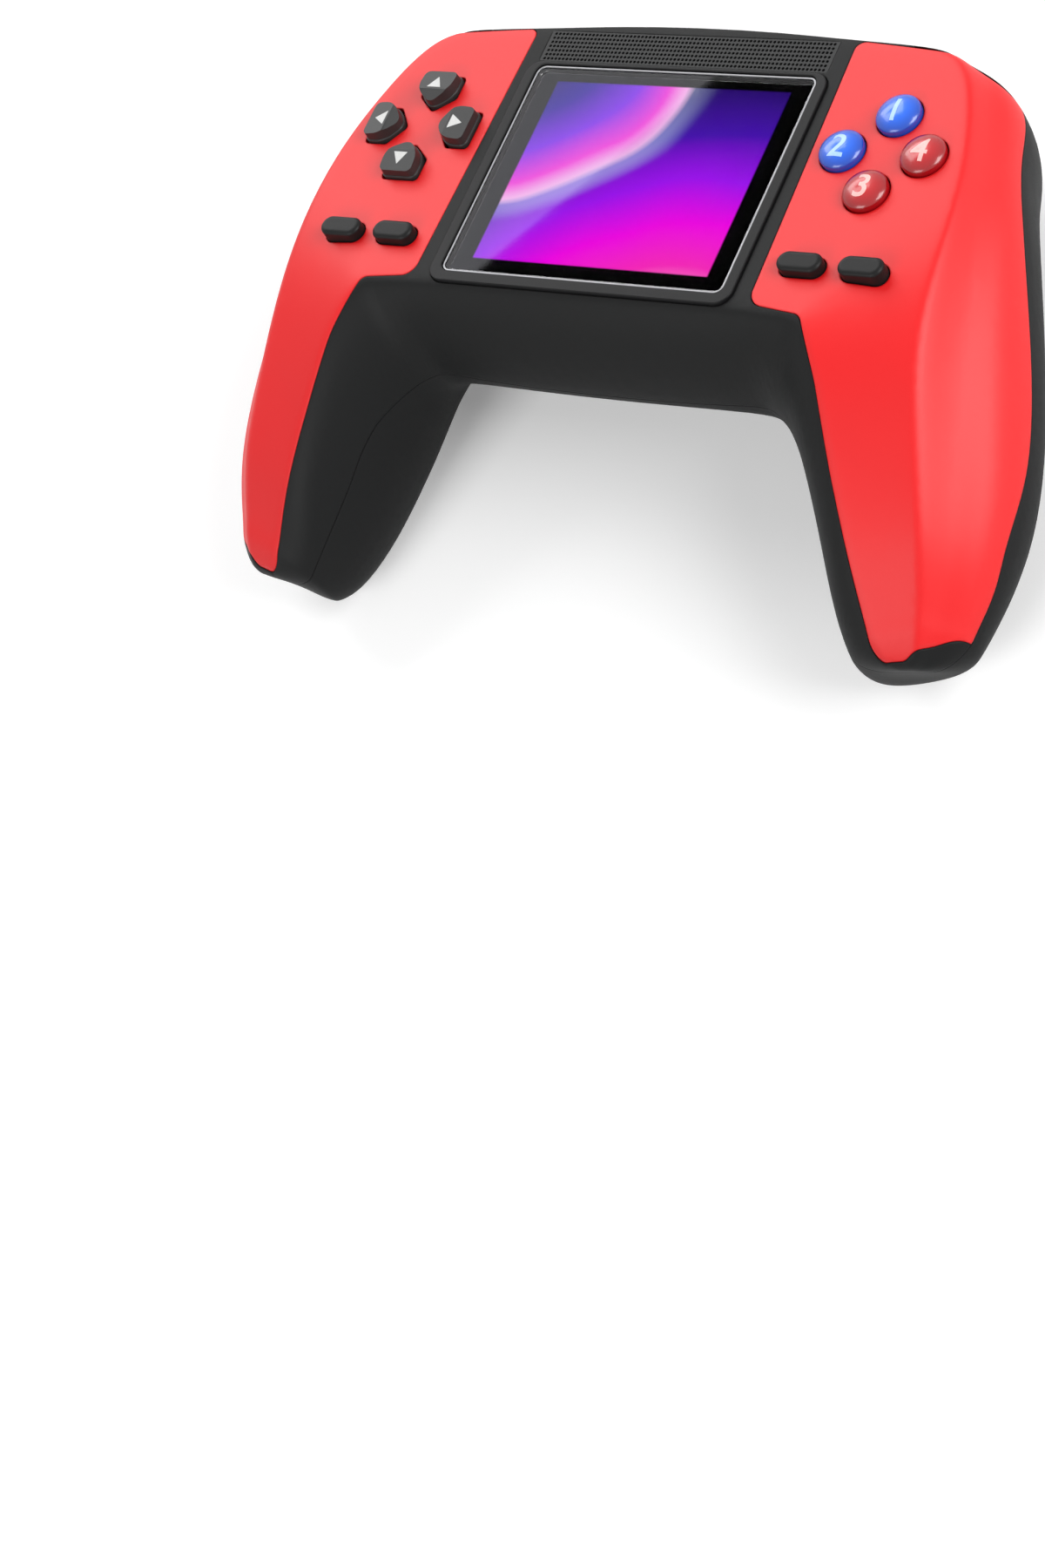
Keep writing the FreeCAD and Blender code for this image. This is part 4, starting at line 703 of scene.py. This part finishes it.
inkLook = {"dark": (0.0012, 0.0012, 0.0014), "light": (0.0018, 0.0018, 0.002), "grain": 2000.0,
           "rough": 0.35, "roughSpread": 0.1}
clear = {"ior": 1.42, "color": (0.99, 0.99, 1.0), "smear": 90.0, "smearDetail": 3.0, "rough": 0.012,
         "smearRough": 0.012}
# The picture is drawn on u and v, which run from -1 to 1 over the lit area
picture = {
    "off": (0.003, 0.003, 0.004), "rough": 0.5, "drift": 0.035, "driftDetail": 1.0,
    "ground": {"middle": (0.75, -1.9), "drift": 0.3, "reach": 3.4, "stops": [
        (0.12, (1.0, 0.4, 0.62)), (0.3, (0.96, 0.02, 0.5)), (0.43, (0.9, 0.0, 0.78)),
        (0.56, (0.34, 0.005, 0.86)), (0.7, (0.06, 0.004, 0.42)), (0.9, (0.008, 0.002, 0.06))]},
    "wing": {"middle": (-1.35, 1.15), "drift": 0.4, "reach": 1.55, "stops": [
        (0.1, (0.008, 0.004, 0.06)), (0.45, (0.03, 0.006, 0.34)), (0.68, (0.22, 0.01, 0.8)),
        (0.86, (0.86, 0.02, 0.7)), (1.0, (1.0, 0.5, 0.82))]},
    "wingEdge": (1.57, 1.5), "seamAt": 1.56, "seamSpread": 0.045, "seamFades": (-1.4, 1.3),
    "seamLight": 0.8, "seam": (0.62, 0.72, 1.0), "rim": (1.0, 0.985),
}


def inkBlack():
    paint = Paint("inkBlack", Specular_IOR_Level=0.0)
    speck = paint.noise(inkLook["grain"])
    paint.feed("Base Color", paint.mix(speck, inkLook["dark"], inkLook["light"]))
    paint.feed("Roughness", inkLook["rough"] + (speck - 0.5) * inkLook["roughSpread"])
    return paint.material


def clearGlass():
    paint = Paint("clearGlass", IOR=clear["ior"], Transmission_Weight=1.0, Base_Color=(*clear["color"], 1))
    smear = paint.noise(clear["smear"], clear["smearDetail"])
    paint.feed("Roughness", clear["rough"] + smear * clear["smearRough"])
    return paint.material


def litPicture():
    # two wide soft arcs, one over the other, with a bright seam between them
    paint = Paint("litPicture", Base_Color=(*picture["off"], 1), Roughness=picture["rough"],
                  Specular_IOR_Level=0.0, Emission_Strength=1.0)
    ground, wing = picture["ground"], picture["wing"]
    x, y, z = paint.split(paint.onFace())
    u = x / (glass["lit"][0] / 2)
    v = (y - glass["litUp"]) / (glass["lit"][1] / 2)
    drift = paint.noise(picture["drift"], picture["driftDetail"], paint.onFace()) - 0.5
    low = awayFrom(ground["middle"], u, v) + drift * ground["drift"]
    high = awayFrom(wing["middle"], u, v) + drift * wing["drift"]
    inWing = clamped(paint, high, *picture["wingEdge"])
    lit = paint.mix(inWing, paint.ramp(low / ground["reach"], ground["stops"]),
                    paint.ramp(high / wing["reach"], wing["stops"]))
    glow = clamped(paint, (high - picture["seamAt"]) ** 2, picture["seamSpread"], 0.0) ** 2
    glow = glow * clamped(paint, u - v, *picture["seamFades"]) * picture["seamLight"]
    lit = paint.mix(glow, lit, picture["seam"])
    inside = clamped(paint, abs(u), *picture["rim"]) * clamped(paint, abs(v), *picture["rim"])
    paint.feed("Emission Color", paint.mix(inside, (0.0, 0.0, 0.0), lit))
    return paint.material


finish["inkBlack"] = inkBlack()
finish["clearGlass"] = clearGlass()
finish["litPicture"] = litPicture()


def screenGlass():
    shape = bmesh.new()
    face = flatOutline(shape, [(-halfW, -halfH), (halfW, -halfH), (halfW, halfH), (-halfW, halfH)],
                       glass["corner"], glass["top"] - glass["thick"], cornerSteps)
    top = raised(shape, face, glass["thick"])
    closeHoles(shape)
    softenEdges(shape, list(top.edges), glass["edge"], 2)
    asPiece("screenGlass", shape, finish["clearGlass"], "casing", ["screen_lens"],
            edges="rounds")


screenGlass()
litW, litH = glass["lit"][0] / 2, glass["lit"][1] / 2
under = glass["top"] - glass["thick"]
printW, printH = halfW - printed["inset"], halfH - printed["inset"]
ringPiece("glassPrint", (litW, glass["litUp"] - litH, glass["litUp"] + litH), (printW, -printH, printH),
          under - printed["from"], under - printed["to"], printed["edge"], "inkBlack", [],
          printed["corners"])
smoothCopy("display_module", "displayPanel", finish["litPicture"], "casing")
print("screen made")


# Inner pieces keep the part's own shapes
inside = {
    "siliconeGrey": ["dpad_rubber_pad", "action_rubber_pad", "left_menu_rubber_pad",
                     "right_menu_rubber_pad", "display_gasket"],
    "boardGreen": ["main_board", "shoulder_boards"],
    "chipBlack": ["main_chips", "tact_switches", "av_jack", "speaker"],
    "ribbonAmber": ["display_flex"],
    "screwSteel": ["board_screws", "case_screws", "trigger_pins", "trigger_springs", "charging_port"],
    "switchGrey": ["power_switch", "power_slider"],
    "cellWrap": ["battery"],
    "contactBrass": ["battery_contacts"],
}
for material, names in inside.items():
    for node in names:
        nodes[node].data.materials.clear()
        nodes[node].data.materials.append(finish[material])
print("inner pieces finished")


# Stage: everything round the console is white for the camera, for mirrors and for glass, and dim
# as a lamp. The floor shines brighter where no lamp reaches it.
stage = {"dim": 0.22, "floorColor": (0.9, 0.9, 0.9), "floorRough": 0.9, "floorHalf": 4.0,
         "bright": (0.5, 1.5)}


def paleFloor():
    paint = Paint("paleFloor", Roughness=stage["floorRough"], Specular_IOR_Level=0.0,
                  Base_Color=(*stage["floorColor"], 1), Emission_Strength=1.0)
    x, y, z = paint.split(paint.place())
    far = clamped(paint, awayFrom((0.0, 0.0), x, y), *stage["bright"])
    shine = paint.mix(far, (stage["dim"],) * 3, (1.0, 1.0, 1.0))
    paint.feed("Emission Color", paint.mix(paint.add("LightPath"), (0.0, 0.0, 0.0), shine))
    return paint.material


floorShape = bmesh.new()
bmesh.ops.create_grid(floorShape, x_segments=1, y_segments=1, size=stage["floorHalf"])
floorMesh = bpy.data.meshes.new("floor")
floorShape.to_mesh(floorMesh)
floorShape.free()
floorMesh.materials.append(paleFloor())
floor = bpy.data.objects.new("floor", floorMesh)
bpy.context.scene.collection.objects.link(floor)

# Lamps stand round the console. Places are in millimetres on its level face.
lamps = [
    {"name": "deckSoftbox", "at": (-690, 590, 830), "size": (1.0, 1.0), "power": 11.6},
    {"name": "rightSoftbox", "at": (1050, 80, 640), "size": (0.8, 0.8), "power": 15.0},
    {"name": "frontSoftbox", "at": (-250, -1250, 700), "size": (0.8, 0.8), "power": 9.0},
]
for lamp in lamps:
    light = bpy.data.lights.new(lamp["name"], "AREA")
    light.shape = "RECTANGLE"
    light.size, light.size_y = lamp["size"]
    light.energy = lamp["power"]
    holder = bpy.data.objects.new(lamp["name"], light)
    place = toFace @ Vector(lamp["at"])
    holder.location = place
    holder.rotation_euler = (faceMiddle - place).to_track_quat("-Z", "Y").to_euler()
    bpy.context.scene.collection.objects.link(holder)

# Two cards hang in the glass's mirror image of the sky: a dark one, and a pale one that
# leaves a slanting glare on the left of the glass
cards = {"height": 450.0, "edge": ((-358, 364), (-419, 274)), "run": 0.5,
         "dark": (130.0, (0.0, 0.0, 0.0), 0.0),    # sideways reach, colour and brightness
         "pale": (-90.0, (0.94, 0.94, 1.0), 1.1)}


def card(name, side, color, strength):
    # a flat sheet that reaches sideways from the slanting edge
    shape = bmesh.new()
    top, bottom = [Vector((*point, cards["height"])) for point in cards["edge"]]
    slope = (top - bottom) * cards["run"]
    ends = [shape.verts.new(top + slope), shape.verts.new(bottom - slope)]
    made = bmesh.ops.extrude_edge_only(shape, edges=[shape.edges.new(ends)])
    moved = [item for item in made["geom"] if isinstance(item, bmesh.types.BMVert)]
    bmesh.ops.translate(shape, verts=moved, vec=(side, 0, 0))
    mesh = bpy.data.meshes.new(name)
    shape.to_mesh(mesh)
    shape.free()
    mesh.transform(toFace)
    paint = Paint(name, Roughness=1.0, Specular_IOR_Level=0.0, Base_Color=(0, 0, 0, 1),
                  Emission_Color=(*color, 1), Emission_Strength=strength)
    mesh.materials.append(paint.material)
    hung = bpy.data.objects.new(name, mesh)
    hung.visible_camera = False
    hung.visible_diffuse = False
    hung.visible_shadow = False
    bpy.context.scene.collection.objects.link(hung)


card("darkCard", *cards["dark"])
card("paleCard", *cards["pale"])

world = bpy.data.worlds.new("paleRoom")
bpy.context.scene.world = world
world.use_nodes = True
sky = world.node_tree.nodes["Background"]
path = world.node_tree.nodes.new("ShaderNodeLightPath")
seen = path.outputs["Is Camera Ray"]
for ray in ("Is Glossy Ray", "Is Transmission Ray"):
    either = world.node_tree.nodes.new("ShaderNodeMath")
    either.operation = "MAXIMUM"
    world.node_tree.links.new(seen, either.inputs[0])
    world.node_tree.links.new(path.outputs[ray], either.inputs[1])
    seen = either.outputs[0]
level = world.node_tree.nodes.new("ShaderNodeMapRange")
level.inputs["To Min"].default_value = stage["dim"]
world.node_tree.links.new(seen, level.inputs["Value"])
world.node_tree.links.new(level.outputs[0], sky.inputs["Strength"])
sky.inputs["Color"].default_value = (1, 1, 1, 1)

# Camera, given on the console's level face in millimetres
view = {"at": (359.817, -306.724, 432.535), "towards": (-0.568075, 0.332101, -0.752993),
        "up": (-0.147527, 0.859049, 0.490174), "lens": 84.38, "sensor": 36.0, "nearest": 0.01}
camera = bpy.data.cameras.new("camera")
camera.lens = view["lens"]
camera.sensor_width = view["sensor"]
camera.clip_start = view["nearest"]
eye = bpy.data.objects.new("camera", camera)
turn = Matrix.Rotation(faceTilt, 3, "X")
back = -(turn @ Vector(view["towards"])).normalized()
up = (turn @ Vector(view["up"])).normalized()
side = up.cross(back).normalized()
pose = Matrix((side, back.cross(side), back)).transposed().to_4x4()
pose.translation = toFace @ Vector(view["at"])
eye.matrix_world = pose
bpy.context.scene.collection.objects.link(eye)
bpy.context.scene.camera = eye
bpy.context.scene.view_settings.view_transform = "Standard"
print("stage set")
